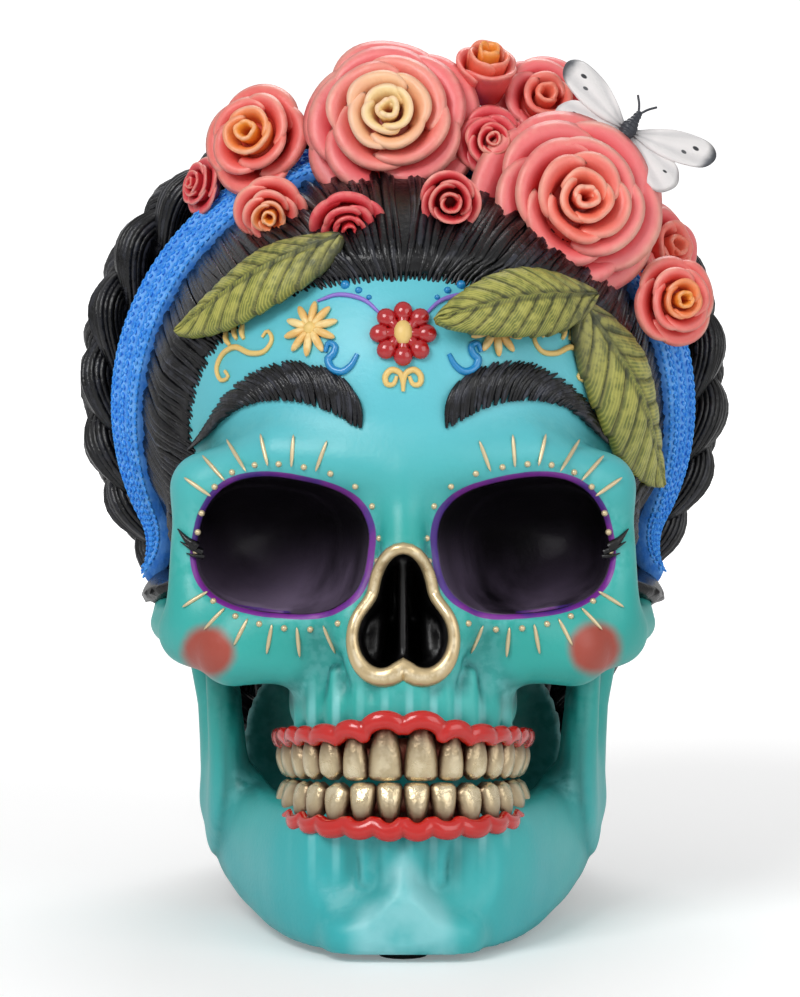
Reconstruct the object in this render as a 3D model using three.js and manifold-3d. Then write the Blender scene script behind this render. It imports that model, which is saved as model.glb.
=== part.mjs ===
// Sugar skull ornament: a hand-painted resin skull with plaited hair, a headband and a flower crown.
// Lengths are in millimetres. +Z is up, the face looks along -Y and the footprint's middle is the origin.
// The head is modelled in its own frame, with the ear line at zero, and is then leaned back onto three
// felt pads.

import * as THREE from "three";
import { mergeVertices } from "three/addons/utils/BufferGeometryUtils.js";
import Module from "manifold-3d";

const wasm = await Module();
wasm.setup();

// Head
const headWidth = 116; // over the braincase
const headLength = 148; // forehead to the back of the head
const headHeight = 178; // crown to chin
const leanDegrees = 8; // how far the face looks up
const wallThickness = 9; // resin wall around the hollow
const pourHoleRadius = 8;
const plugFlange = 2.5; // how far the plug's rim stands past its hole
const plugThickness = 6;
const rimThickness = 2; // of the plug's rim

// Fits
const glueGap = 0.3; // between glued pieces
const seatDepth = 3; // how far a raw piece reaches into what carries it, before it is cut to fit

// Face
const orbitWidth = 35;
const orbitHeight = 30.4;
const orbitDepth = 34;
const noseWidth = 11.2; // of the upper opening
const noseHeight = 22;
const noseLobeWidth = 11.2; // of each lower lobe
const noseLobeHeight = 15;
const noseDepth = 30;
const septumThickness = 2.4;
const noseRimWidth = 2.6;
const noseRimDepth = 3.2;

// Jaw, teeth and gums
const jawHeight = 28;
const jawThickness = 10.8;
const ramusWidth = 30;
const ramusThickness = 7.6;
const upperToothHeight = 9.2;
const lowerToothHeight = 8.2;
const toothDepth = 6.4;
const toothRootDepth = 4; // the part of each tooth that is under the gum
const toothRelief = 1.5; // how far the gaps between the teeth are set back
const toothNotch = 1.7; // how far they cut up into the biting edge
const gumThickness = 1.8;
const biteGap = 0.9; // between the upper and the lower teeth
const gumHeight = 4.6;

// Hair
const hairThickness = 3.6;
const napeWidth = 68;
const napeLength = 60;
const napeHeight = 84;
const braidWidth = 27;
const braidDepth = 15;
const strandWidth = 13.5;
const strandDepth = 10.5;
const bandWidth = 13;
const bandTipWidth = 4;
const bandThickness = 2.4;

// Brows
const browHeight = 9.5;
const browThickness = 3.2;

// Forehead ornaments
const redFlowerRadius = 8;
const redCentreRadius = 2.6;
const daisyRadius = 6.6;
const daisyCentreRadius = 1.7;
const ornamentHeight = 1.3;
const scrollRadius = 1.2;

// Flowers, leaves and butterfly
const largeRoseRadius = 21;
const widestRoseRadius = 23;
const mediumRoseRadius = 13;
const smallRoseRadius = 10.5;
const budRadius = 8.5;
const smallBudRadius = 7;
const petalLip = 2.2; // how far a rose's petal edges stand up
const leafThickness = 2.4;
const shortLeafWidth = 17;
const longLeafWidth = 23;
const wingThickness = 1.6;
const wingLength = 18.5;
const butterflyLength = 11;
const butterflyRadius = 1.9;

// Base
const padRadius = 9;
const padThickness = 1.5;
const frontPadRadius = 5.4;
const chinFlat = 0.8; // how much of the chin is flattened over its pad

// Facet counts
const fineColumns = 42;
const fineRings = 23;
const coarseColumns = 22;
const coarseRings = 16;

const head = new THREE.Vector3(headWidth, headLength, headHeight);
const lean = THREE.MathUtils.degToRad(leanDegrees);
const up = new THREE.Vector3(0, 0, 1);
const forward = new THREE.Vector3(0, -1, 0);
const noTurn = new THREE.Quaternion();

// A place in the head, from its shares of the head's width, length and height.
function place([x, y, z]) {
  return new THREE.Vector3(x, y, z).multiply(head);
}

// The bone's form. Each lump is a centre, three half sizes and a blend, all shares of the head.
const lumpShares = [
  [0, 0.005, 0.225, 0.5, 0.495, 0.31, 0], // braincase
  [0, -0.225, 0.235, 0.405, 0.3, 0.26, 0.08], // forehead
  [0.215, 0.12, 0.28, 0.275, 0.27, 0.215, 0.065], // sides of the vault
  [0, 0.27, 0.1, 0.36, 0.215, 0.2, 0.065], // back of the head
  [0, 0.035, -0.035, 0.33, 0.325, 0.11, 0.055], // underside
  [0, -0.34, -0.067, 0.235, 0.2, 0.146, 0.035], // middle of the face
  [0, -0.38, -0.157, 0.22, 0.182, 0.073, 0.035], // upper jaw
  [0, -0.39, 0.067, 0.147, 0.115, 0.112, 0.035], // between the eyes
  [0.32, -0.27, 0.045, 0.112, 0.12, 0.107, 0.035], // outer wall of the eye socket
];
// Each bar joins two points, with a radius at each end and a blend, all shares of the head.
const barShares = [
  [0.225, -0.46, -0.085, 0.04, 0.33, -0.43, -0.08, 0.05, 0.045], // cheekbone
  [0.33, -0.43, -0.08, 0.05, 0.405, -0.365, -0.06, 0.037, 0.045],
  [0.405, -0.4, -0.05, 0.037, 0.41, -0.4, 0.045, 0.028, 0.028], // outer rim
  [0.41, -0.4, 0.045, 0.028, 0.392, -0.405, 0.118, 0.034, 0.028],
  [0.415, -0.365, -0.06, 0.034, 0.457, -0.245, -0.05, 0.025, 0.028], // arch
  [0.457, -0.245, -0.05, 0.025, 0.45, -0.08, -0.028, 0.028, 0.028],
  [0, -0.5, 0.14, 0.039, 0.103, -0.497, 0.152, 0.034, 0.045], // brow ridge
  [0.103, -0.497, 0.152, 0.034, 0.24, -0.473, 0.163, 0.034, 0.045],
  [0.24, -0.473, 0.163, 0.034, 0.38, -0.41, 0.13, 0.031, 0.045],
  [0.095, -0.493, -0.017, 0.031, 0.24, -0.473, -0.05, 0.028, 0.028], // lower rim
  [0.24, -0.473, -0.05, 0.028, 0.388, -0.405, -0.034, 0.031, 0.028],
  [0, -0.5, 0.118, 0.031, 0, -0.56, 0.017, 0.026, 0.028], // nose bridge
  [0.052, -0.486, 0.1, 0.025, 0.1, -0.514, -0.056, 0.025, 0.022],
  [0.097, -0.524, -0.045, 0.019, 0.086, -0.534, -0.1, 0.018, 0.017], // nose sill
  [0.086, -0.534, -0.1, 0.018, 0, -0.544, -0.124, 0.017, 0.017],
];
const headCentreShare = [0, -0.035, 0.085]; // every ray of a star solid starts here
const orbitShare = [0.237, -0.446, 0.048];
const orbitYawDegrees = 16;
const orbitRollDegrees = 9;
const orbitPower = 2.7; // above 2 squares the socket's corners
const noseTopShare = [0, -0.568, -0.022];
const noseLobeShare = [0.04, -0.568, -0.067];
const septumShare = [0, -0.41, -0.04];
const septumLengthShare = 0.19;
const septumHeightShare = 0.16;
const hollowShare = [0, 0.08, 0.235];
const pourHoleShare = [0, -0.06, -0.12];

// The jaw's centreline from the chin to one corner, with its height and thickness as shares of the full ones.
const jawPathShares = [
  [0, -0.52, -0.372, 1, 1],
  [0.075, -0.513, -0.372, 1, 1],
  [0.145, -0.478, -0.37, 0.97, 0.98],
  [0.205, -0.41, -0.364, 0.94, 0.96],
  [0.258, -0.315, -0.354, 0.9, 0.94],
  [0.31, -0.205, -0.338, 0.88, 0.88],
  [0.358, -0.095, -0.305, 0.86, 0.8],
];
const chinShare = [0, -0.535, -0.415];
const chinSizeShares = [0.12, 0.045, 0.05];
const jawEdgeShares = [
  [0, -0.517, -0.435, 0.03],
  [0.095, -0.51, -0.438, 0.03],
  [0.18, -0.446, -0.43, 0.024],
  [0.26, -0.338, -0.405, 0.021],
  [0.32, -0.216, -0.365, 0.021],
  [0.362, -0.095, -0.315, 0.022],
];
// The branch at each corner: places with the length and thickness there, as shares of the full ones.
const ramusShares = [
  [0.362, -0.115, -0.325, 0.72, 0.8],
  [0.364, -0.115, -0.29, 0.98, 1],
  [0.372, -0.112, -0.22, 1, 0.95],
  [0.379, -0.112, -0.16, 0.98, 0.9],
  [0.385, -0.115, -0.115, 1.02, 0.75],
];
// The two prongs above it, to the joint and in front of it, with a radius at each place.
const prongShares = [
  [
    [0.385, -0.045, -0.15, 0.03],
    [0.398, -0.032, -0.08, 0.025],
    [0.405, -0.027, -0.035, 0.026],
  ],
  [
    [0.382, -0.165, -0.15, 0.026],
    [0.38, -0.19, -0.09, 0.02],
    [0.375, -0.203, -0.05, 0.012],
  ],
];

// The tooth arch from the middle to the last tooth.
const archShares = [
  [0, -0.571],
  [0.06, -0.568],
  [0.112, -0.549],
  [0.158, -0.516],
  [0.191, -0.47],
  [0.214, -0.416],
  [0.228, -0.358],
  [0.233, -0.304],
];
const biteShare = -0.247; // height of the bite
// Widths are shares of half the arch, and heights are shares of the row's height.
const upperTeeth = {
  widthShares: [0.15, 0.12, 0.135, 0.125, 0.125, 0.18, 0.165],
  heightShares: [1, 0.92, 0.94, 0.86, 0.82, 0.8, 0.76],
  height: upperToothHeight,
};
const lowerTeeth = {
  widthShares: [0.115, 0.12, 0.135, 0.13, 0.135, 0.19, 0.175],
  heightShares: [0.94, 0.95, 1, 0.94, 0.88, 0.84, 0.8],
  height: lowerToothHeight,
};
const toothStopShares = [0.2, 0.8]; // where a tooth is full, of its width
const gumArchShare = 0.22; // how far the gum's edge hangs between the teeth
const gumWaveShare = 0.25;
const gumSetShare = 0.35; // how much of the relief between the teeth the gum follows

// Where the hair starts, seen from the side, from above the forehead to the nape.
const hairlineShares = [
  [-0.43, 0.39],
  [-0.385, 0.29],
  [-0.345, 0.19],
  [-0.325, 0.07],
  [-0.29, 0],
  [-0.14, -0.02],
  [0.03, -0.05],
  [0.035, -0.32],
  [0.03, -0.56],
];
const napeShare = [0, 0.23, -0.2];
const napeBlendShare = 0.08;
const braidPathShares = [
  [0.1, -0.12, 0.58],
  [0.26, -0.03, 0.55],
  [0.43, 0.06, 0.45],
  [0.54, 0.12, 0.28],
  [0.545, 0.17, 0.1],
  [0.47, 0.25, -0.06],
  [0.34, 0.36, -0.2],
  [0.14, 0.45, -0.27],
];
const bandPathShares = [
  [0, -0.2, 0.555],
  [0.24, -0.18, 0.47],
  [0.4, -0.16, 0.37],
  [0.5, -0.13, 0.24],
  [0.53, -0.09, 0.11],
  [0.51, -0.04, 0],
  [0.47, 0.02, -0.08],
];

// One brow's centreline from its inner end, seen from the front, with its height along it.
const browShares = [
  [0.09, 0.222],
  [0.16, 0.247],
  [0.24, 0.252],
  [0.32, 0.232],
  [0.39, 0.187],
];
const browHeightShares = [0.75, 1, 1, 0.8, 0.25];

// A distance to one lump, negative inside it.
function lumpDistance(p, centre, half) {
  const x = (p.x - centre.x) / half.x;
  const y = (p.y - centre.y) / half.y;
  const z = (p.z - centre.z) / half.z;
  const near = Math.hypot(x, y, z);
  const slope = Math.hypot(x / half.x, y / half.y, z / half.z);
  return slope > 0 ? (near * (near - 1)) / slope : -Math.min(half.x, half.y, half.z);
}

// A distance to a bar that tapers between two points.
function barDistance(p, from, to, fromRadius, toRadius) {
  const along = to.clone().sub(from);
  const offset = p.clone().sub(from);
  const share = THREE.MathUtils.clamp(offset.dot(along) / along.lengthSq(), 0, 1);
  return offset.addScaledVector(along, -share).length() - THREE.MathUtils.lerp(fromRadius, toRadius, share);
}

// The smaller of two distances, rounded where they meet.
function blend(a, b, width) {
  if (width <= 0) return Math.min(a, b);
  const share = THREE.MathUtils.clamp((1 + (b - a) / width) / 2, 0, 1);
  return THREE.MathUtils.lerp(b, a, share) - width * share * (1 - share);
}

const lumps = lumpShares.map(([x, y, z, halfX, halfY, halfZ, width]) => ({
  centre: place([x, y, z]),
  half: place([halfX, halfY, halfZ]),
  width: width * headHeight,
}));
const bars = barShares.map(([x, y, z, radius, x2, y2, z2, radius2, width]) => ({
  from: place([x, y, z]),
  to: place([x2, y2, z2]),
  fromRadius: radius * headHeight,
  toRadius: radius2 * headHeight,
  width: width * headHeight,
}));

function boneForm(p) {
  const q = new THREE.Vector3(Math.abs(p.x), p.y, p.z);
  let d = Infinity;
  for (const { centre, half, width } of lumps) {
    d = blend(d, lumpDistance(q, centre, half), Number.isFinite(d) ? width : 0);
  }
  for (const { from, to, fromRadius, toRadius, width } of bars) {
    d = blend(d, barDistance(q, from, to, fromRadius, toRadius), width);
  }
  return d;
}

const napeHalf = new THREE.Vector3(napeWidth, napeLength, napeHeight).divideScalar(2);

function hairForm(p) {
  const nape = lumpDistance(p, place(napeShare), napeHalf);
  return blend(boneForm(p) - hairThickness, nape, napeBlendShare * headHeight);
}

// Turns a geometry into a solid that can be joined and cut.
function toSolid(geometry) {
  const bare = geometry.index ? geometry.toNonIndexed() : geometry.clone();
  bare.deleteAttribute("normal");
  bare.deleteAttribute("uv");
  const merged = mergeVertices(bare);
  const mesh = new wasm.Mesh({
    numProp: 3,
    vertProperties: merged.attributes.position.array,
    triVerts: new Uint32Array(merged.index.array),
  });
  const solid = new wasm.Manifold(mesh);
  if (solid.volume() > 0) return solid;
  const turned = mesh.triVerts.slice();
  for (let i = 0; i < turned.length; i += 3) [turned[i], turned[i + 1]] = [turned[i + 1], turned[i]];
  const { vertProperties } = mesh;
  return new wasm.Manifold(new wasm.Mesh({ numProp: 3, vertProperties, triVerts: turned }));
}

function union(solids) {
  return solids.reduce((whole, solid) => whole.add(solid));
}

function cut(solid, tools) {
  return tools.reduce((rest, tool) => rest.subtract(tool), solid);
}

// The main body of a solid, without the slivers that a cut can leave.
function mainBody(solid) {
  const bodies = solid.decompose();
  return bodies.reduce((best, body) => (body.volume() > best.volume() ? body : best));
}

function toMesh(name, solid, material) {
  const found = mainBody(solid).getMesh();
  const stride = found.numProp;
  const positions = new Float32Array(found.numVert * 3);
  for (let i = 0; i < found.numVert; i++) {
    positions.set(found.vertProperties.subarray(i * stride, i * stride + 3), i * 3);
  }
  const geometry = new THREE.BufferGeometry();
  geometry.setAttribute("position", new THREE.BufferAttribute(positions, 3));
  geometry.setIndex(new THREE.BufferAttribute(found.triVerts, 1));
  const mesh = new THREE.Mesh(geometry, material);
  mesh.name = name;
  return mesh;
}

// A ball stretched to three half sizes, turned and moved.
function ball(centre, half, turn = noTurn, columns = 8, rows = 5) {
  const geometry = new THREE.SphereGeometry(1, columns, rows);
  geometry.applyMatrix4(new THREE.Matrix4().compose(centre, turn, half));
  return toSolid(geometry);
}

// A closed skin over rings that all have the same number of points.
function skin(rings) {
  const count = rings[0].length;
  const points = rings.flat();
  const middle = (ring) => ring.reduce((sum, p) => sum.add(p), new THREE.Vector3()).divideScalar(ring.length);
  points.push(middle(rings[0]), middle(rings[rings.length - 1]));
  const start = points.length - 2;
  const end = points.length - 1;
  const last = (rings.length - 1) * count;
  const faces = [];
  for (let r = 0; r < rings.length - 1; r++) {
    for (let i = 0; i < count; i++) {
      const a = r * count + i;
      const b = r * count + ((i + 1) % count);
      faces.push(a, b, b + count, a, b + count, a + count);
    }
  }
  for (let i = 0; i < count; i++) {
    faces.push(start, (i + 1) % count, i, end, last + i, last + ((i + 1) % count));
  }
  const geometry = new THREE.BufferGeometry().setFromPoints(points);
  geometry.setIndex(faces);
  return toSolid(geometry);
}

// An oval ring of points, square to nothing but its two half axes.
function oval(centre, halfU, halfV, count) {
  return Array.from({ length: count }, (_, i) => {
    const angle = (i / count) * Math.PI * 2;
    return centre.clone().addScaledVector(halfU, Math.cos(angle)).addScaledVector(halfV, Math.sin(angle));
  });
}

// The way along a row of points, at one of them.
function wayAt(points, i) {
  return points[Math.min(i + 1, points.length - 1)].clone().sub(points[Math.max(i - 1, 0)]).normalize();
}

// A rod along points, with a radius at each.
function rod(points, radii, sides) {
  const side = new THREE.Vector3(0.3, 0.2, 1);
  return skin(
    points.map((p, i) => {
      const way = wayAt(points, i);
      side.addScaledVector(way, -side.dot(way)).normalize();
      return oval(p, side.clone().multiplyScalar(radii[i]), way.cross(side).multiplyScalar(radii[i]), sides);
    }),
  );
}

// A solid whose surface is the form's, seen from the head's centre. Its rings run around the line of sight,
// and a share of them is on the face.
const faceTurnShare = 0.42; // of the half turn from front to back
const boneRingShare = 0.72;
const hairRingShare = 0.36;
function starSolid(form, level, columns, rings, faceRingShare) {
  const centre = place(headCentreShare);
  const geometry = new THREE.SphereGeometry(1, columns, rings);
  const spots = geometry.attributes.position;
  for (let i = 0; i < spots.count; i++) {
    const column = (i % (columns + 1)) / columns;
    const ring = Math.floor(i / (columns + 1)) / rings;
    const turnShare =
      ring < faceRingShare
        ? (ring / faceRingShare) * faceTurnShare
        : THREE.MathUtils.mapLinear(ring, faceRingShare, 1, faceTurnShare, 1);
    const turn = turnShare * Math.PI;
    const wide = ring === 0 || ring === 1 ? 0 : Math.sin(turn);
    const around = (column % 1) * Math.PI * 2;
    const ray = new THREE.Vector3(Math.sin(around) * wide, -Math.cos(turn), Math.cos(around) * wide);
    ray.normalize();
    spots.setXYZ(i, ...surfaceAlong(form, level, centre, ray, head.length()).toArray());
  }
  return toSolid(geometry);
}

// The first point of the form's surface on a ray that comes in from outside.
const marchSteps = 90;
const marchShare = 0.7;
function surfaceAlong(form, level, from, ray, reach) {
  let t = reach;
  const p = new THREE.Vector3();
  for (let step = 0; step < marchSteps; step++) {
    p.copy(from).addScaledVector(ray, t);
    t = THREE.MathUtils.clamp(t - (form(p) - level) * marchShare, 0, reach);
  }
  return p.copy(from).addScaledVector(ray, t);
}

// Where a line from straight in front meets the form, with the way the surface faces there.
const slopeStep = headHeight / 500;
function frontSeat(form, x, z) {
  const from = new THREE.Vector3(x, 0, z);
  const point = surfaceAlong(form, 0, from, forward, headLength);
  return { point, normal: facing(form, point) };
}

function facing(form, point) {
  const beside = (x, y, z) => form(new THREE.Vector3(x, y, z).multiplyScalar(slopeStep).add(point));
  return new THREE.Vector3(
    beside(1, 0, 0) - beside(-1, 0, 0),
    beside(0, 1, 0) - beside(0, -1, 0),
    beside(0, 0, 1) - beside(0, 0, -1),
  ).normalize();
}

// The turn that carries +Z to a facing, and +X as near to level as it goes.
function turnTo(normal) {
  const level = up.clone().cross(normal).normalize();
  return new THREE.Quaternion().setFromRotationMatrix(
    new THREE.Matrix4().makeBasis(level, normal.clone().cross(level), normal),
  );
}

function mirrored(solid) {
  return solid.mirror([1, 0, 0]);
}

function smooth(points, count) {
  return new THREE.CatmullRomCurve3(points, false, "centripetal").getPoints(count);
}

function bothWays(points) {
  const flipped = points.slice(1).map((p) => new THREE.Vector3(-p.x, p.y, p.z));
  return [...flipped.reverse(), ...points];
}

// Skull

function orbitCutter(side) {
  const geometry = new THREE.SphereGeometry(1, 18, 12);
  const spots = geometry.attributes.position;
  for (let i = 0; i < spots.count; i++) {
    const x = Math.abs(spots.getX(i));
    const z = Math.abs(spots.getZ(i));
    const round = Math.hypot(x, z);
    const squared = (x ** orbitPower + z ** orbitPower) ** (1 / orbitPower);
    const swell = squared > 0 ? round / squared : 1;
    spots.setXYZ(i, spots.getX(i) * swell, spots.getY(i), spots.getZ(i) * swell);
  }
  const turn = new THREE.Euler(
    0,
    side * THREE.MathUtils.degToRad(orbitRollDegrees),
    side * THREE.MathUtils.degToRad(orbitYawDegrees),
    "ZYX",
  );
  const [x, y, z] = orbitShare;
  geometry.applyMatrix4(
    new THREE.Matrix4().compose(
      place([side * x, y, z]),
      new THREE.Quaternion().setFromEuler(turn),
      new THREE.Vector3(orbitWidth / 2, orbitDepth, orbitHeight / 2),
    ),
  );
  return toSolid(geometry);
}

function noseCutter() {
  const [x, y, z] = noseLobeShare;
  const lobe = new THREE.Vector3(noseLobeWidth / 2, noseDepth, noseLobeHeight / 2);
  return union([
    ball(place(noseTopShare), new THREE.Vector3(noseWidth / 2, noseDepth, noseHeight / 2), noTurn, 12, 10),
    ball(place([x, y, z]), lobe, noTurn, 12, 10),
    ball(place([-x, y, z]), lobe, noTurn, 12, 10),
  ]);
}

function box(width, length, height, centre) {
  return toSolid(new THREE.BoxGeometry(width, length, height).translate(centre.x, centre.y, centre.z));
}

function cylinder(radius, height, centre, sides = 16) {
  const geometry = new THREE.CylinderGeometry(radius, radius, height, sides).rotateX(Math.PI / 2);
  return toSolid(geometry.translate(centre.x, centre.y, centre.z));
}

const pourHole = place(pourHoleShare);
const downward = new THREE.Vector3(0, 0, -1);
const plugSeat = surfaceAlong(boneForm, 0, pourHole.clone().setZ(0), downward, headHeight).z;

function makeSkull(extra) {
  const whole = starSolid(boneForm, extra, fineColumns, fineRings, boneRingShare);
  if (extra > 0) return whole;
  const septum = box(
    septumThickness,
    septumLengthShare * headLength,
    septumHeightShare * headHeight,
    place(septumShare),
  );
  const hollowHalf = lumps[0].half.clone().subScalar(wallThickness);
  hollowHalf.y -= wallThickness * 1.5; // room for the eye sockets in front
  const hollow = ball(place(hollowShare), hollowHalf, noTurn, 12, 8);
  const hole = cylinder(pourHoleRadius, headHeight / 2, pourHole.clone().setZ(plugSeat));
  return whole
    .subtract(orbitCutter(1))
    .subtract(orbitCutter(-1))
    .subtract(noseCutter())
    .add(septum)
    .subtract(hollow)
    .subtract(hole);
}

function makePlug(extra) {
  const rimTop = plugSeat - glueGap * 3;
  const stemCentre = new THREE.Vector3(pourHole.x, pourHole.y, rimTop + plugThickness / 2);
  const rimCentre = new THREE.Vector3(pourHole.x, pourHole.y, rimTop - rimThickness / 2);
  const stem = cylinder(pourHoleRadius - glueGap + extra, plugThickness + extra * 2, stemCentre);
  const rim = cylinder(pourHoleRadius + plugFlange + extra, rimThickness + extra * 2, rimCentre);
  return stem.add(rim);
}

// Jaw

function makeJaw(extra) {
  const path = bothWays(jawPathShares.map(place));
  const sizes = [...jawPathShares.slice(1).reverse(), ...jawPathShares];
  const rings = path.map((p, i) => {
    const across = wayAt(path, i).setZ(0).normalize().cross(up);
    const height = (jawHeight * sizes[i][3]) / 2 + extra;
    const thickness = (jawThickness * sizes[i][4]) / 2 + extra;
    return oval(p, across.multiplyScalar(thickness), up.clone().multiplyScalar(height), 8);
  });
  const edge = bothWays(jawEdgeShares.map(place));
  const edgeRows = [...jawEdgeShares.slice(1).reverse(), ...jawEdgeShares];
  const edgeRadii = edgeRows.map((row) => row[3] * headHeight + extra);
  const chinHalf = place(chinSizeShares).addScalar(extra);
  const body = [skin(rings), rod(edge, edgeRadii, 6), ball(place(chinShare), chinHalf, noTurn, 10, 7)];
  const branch = makeRamus(extra);
  return union([...body, branch, mirrored(branch)]);
}

function makeRamus(extra) {
  const rings = ramusShares.map(([x, y, z, long, thick]) =>
    oval(
      place([x, y, z]),
      new THREE.Vector3((ramusThickness * thick) / 2 + extra, 0, 0),
      new THREE.Vector3(0, (ramusWidth * long) / 2 + extra, 0),
      8,
    ),
  );
  const prongs = prongShares.map((rows) =>
    rod(rows.map(place), rows.map((row) => row[3] * headHeight + extra), 6),
  );
  return union([skin(rings), ...prongs]);
}

// Teeth and gums

const archCurve = new THREE.CatmullRomCurve3(archShares.map(([x, y]) => place([x, y, biteShare])));

// A place along the arch, from 0 at the middle to 1 at the last tooth, with the way outwards.
function onArch(share) {
  const middle = share === 0;
  const p = archCurve.getPointAt(Math.min(share, 1));
  return { p, out: middle ? forward : archCurve.getTangentAt(Math.min(share, 1)).cross(up) };
}

// A strip along both sides of the arch. A stop holds its share of the arch and the values for its ring.
function makeArchStrip(stops, past, ringAt) {
  const rings = stops.map((stop) => {
    const { p, out } = onArch(stop.share);
    if (stop === stops[stops.length - 1]) p.addScaledVector(up.clone().cross(out), past);
    return ringAt(stop, p, out);
  });
  const flipped = rings.slice(1).map((ring) => ring.map((p) => new THREE.Vector3(-p.x, p.y, p.z)));
  return skin([...flipped.reverse(), ...rings]);
}

// The stops of a row of teeth: full over each tooth, and zero in the gaps.
function toothStops({ widthShares, heightShares }) {
  const stops = [];
  let start = 0;
  widthShares.forEach((width, i) => {
    const before = heightShares[Math.max(i - 1, 0)];
    const tall = heightShares[i];
    stops.push({ share: start, tall: (before + tall) / 2, full: 0 });
    for (const far of toothStopShares) stops.push({ share: start + width * far, tall, full: 1 });
    start += width;
  });
  stops.push({ share: 1, tall: heightShares[heightShares.length - 1], full: 0 });
  return stops;
}

function makeTeeth(row, way, extra) {
  return makeArchStrip(toothStops(row), extra, ({ tall, full }, p, out) => {
    const crown = row.height * tall;
    const pinch = toothRelief * (1 - full);
    const bite = p.clone().addScaledVector(up, (way * biteGap) / 2);
    const at = (far, level) => bite.clone().addScaledVector(out, far).addScaledVector(up, way * level);
    return [
      at(-toothDepth - extra, crown + toothRootDepth + extra),
      at(extra - toothDepth / 4, crown + toothRootDepth + extra),
      at(extra - pinch, crown / 2),
      at(extra - pinch - toothDepth / 8, toothNotch * (1 - full) - extra),
      at(-toothDepth * 0.7 - extra, toothNotch * (1 - full) - extra),
    ];
  });
}

// The gum lies in front of the roots. Its edge hangs between the teeth and arches over each of them.
function makeGum(row, way, extra) {
  return makeArchStrip(toothStops(row), extra, ({ tall, full }, p, out) => {
    const edge = row.height * (tall + gumArchShare * (full - 1)) - extra;
    const top = row.height + gumHeight * (1 + gumWaveShare * (full - 1)) + extra;
    const at = (far, level) => p.clone().addScaledVector(out, far).addScaledVector(up, way * level);
    const back = glueGap * 2 - toothDepth / 8 - toothRelief * gumSetShare * (1 - full);
    const lift = back + gumThickness + extra;
    return [
      at(back, edge),
      at(lift - gumThickness / 4, edge),
      at(lift, (edge + top) / 2),
      at(back + gumThickness / 2, top),
      at(back, top),
    ];
  });
}

// Hair

// The box under the base plane, in the head's own frame.
function makeFloor(level) {
  const size = head.length() * 2;
  const geometry = new THREE.BoxGeometry(size, size, size).translate(0, 0, level - size / 2);
  return toSolid(geometry.applyMatrix4(headMatrix.clone().invert()));
}

function makeHairBlock(extra) {
  const edge = hairlineShares
    .map(([y, z]) => new THREE.Vector2(y * headLength, z * headHeight))
    .map((spot) => spot.subScalar(extra));
  const front = new THREE.SplineCurve(edge).getPoints(edge.length * 2);
  const outline = new THREE.Shape(front);
  outline.lineTo(headLength, -headHeight);
  outline.lineTo(headLength, headHeight);
  outline.lineTo(edge[0].x, headHeight);
  const width = headWidth * 2;
  const geometry = new THREE.ExtrudeGeometry(outline, { depth: width, bevelEnabled: false });
  const toSide = new THREE.Matrix4().makeBasis(new THREE.Vector3(0, 1, 0), up, new THREE.Vector3(1, 0, 0));
  return toSolid(geometry.applyMatrix4(toSide).translate(-width / 2, 0, 0));
}

function makeHair(extra) {
  const whole = starSolid(hairForm, extra, coarseColumns, coarseRings, hairRingShare);
  return whole.intersect(makeHairBlock(extra));
}

// A strap that lies on the hair, wide in the middle and narrow at the tips.
const bandSteps = 20;
function makeBand(extra) {
  const path = smooth(bothWays(bandPathShares.map(place)), bandSteps);
  const rings = path.map((p, i) => {
    const normal = facing(hairForm, p);
    const seat = p.clone().addScaledVector(normal, -hairForm(p));
    const across = wayAt(path, i).cross(normal).normalize();
    const endShare = Math.abs(i / (path.length - 1) - 1 / 2) * 2;
    const half = THREE.MathUtils.lerp(bandWidth, bandTipWidth, endShare ** 2) / 2 + extra;
    const top = bandThickness + glueGap + extra;
    const corner = (side, lift) =>
      seat.clone().addScaledVector(across, side * half).addScaledVector(normal, lift);
    return [
      corner(-1, -seatDepth),
      corner(1, -seatDepth),
      corner(1, top / 2),
      corner(1 / 2, top),
      corner(-1 / 2, top),
      corner(-1, top / 2),
    ];
  });
  return skin(rings);
}

const plaitTurns = 2.4;
const strandCount = 3;
const plaitSteps = 15;
function makeBraid(side, extra) {
  const path = smooth(braidPathShares.map(([x, y, z]) => place([side * x, y, z])), plaitSteps);
  const strands = Array.from({ length: strandCount }, (_, strand) => {
    const rings = path.map((p, i) => {
      const along = wayAt(path, i);
      const normal = facing(hairForm, p);
      const across = along.clone().cross(normal).normalize();
      const out = across.clone().cross(along).multiplyScalar(-1).normalize();
      if (out.dot(normal) < 0) out.negate();
      const turn = (plaitTurns * i) / plaitSteps + strand / strandCount;
      const angle = turn * Math.PI * 2;
      const taper = 1 - 0.3 * Math.abs((2 * i) / plaitSteps - 1) ** 3;
      const sway = ((braidWidth - strandWidth) / 2) * Math.sin(angle) * taper;
      const lift = ((braidDepth - strandDepth) / 2) * Math.sin(2 * angle) + braidDepth / 2 - seatDepth / 2;
      const seat = p.clone().addScaledVector(normal, -hairForm(p));
      const centre = seat.addScaledVector(across, sway).addScaledVector(out, lift);
      const halfAcross = across.clone().multiplyScalar((strandWidth / 2) * taper + extra);
      return oval(centre, halfAcross, out.clone().multiplyScalar((strandDepth / 2) * taper + extra), 5);
    });
    return skin(rings);
  });
  return union(strands);
}

// Face ornaments

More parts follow.
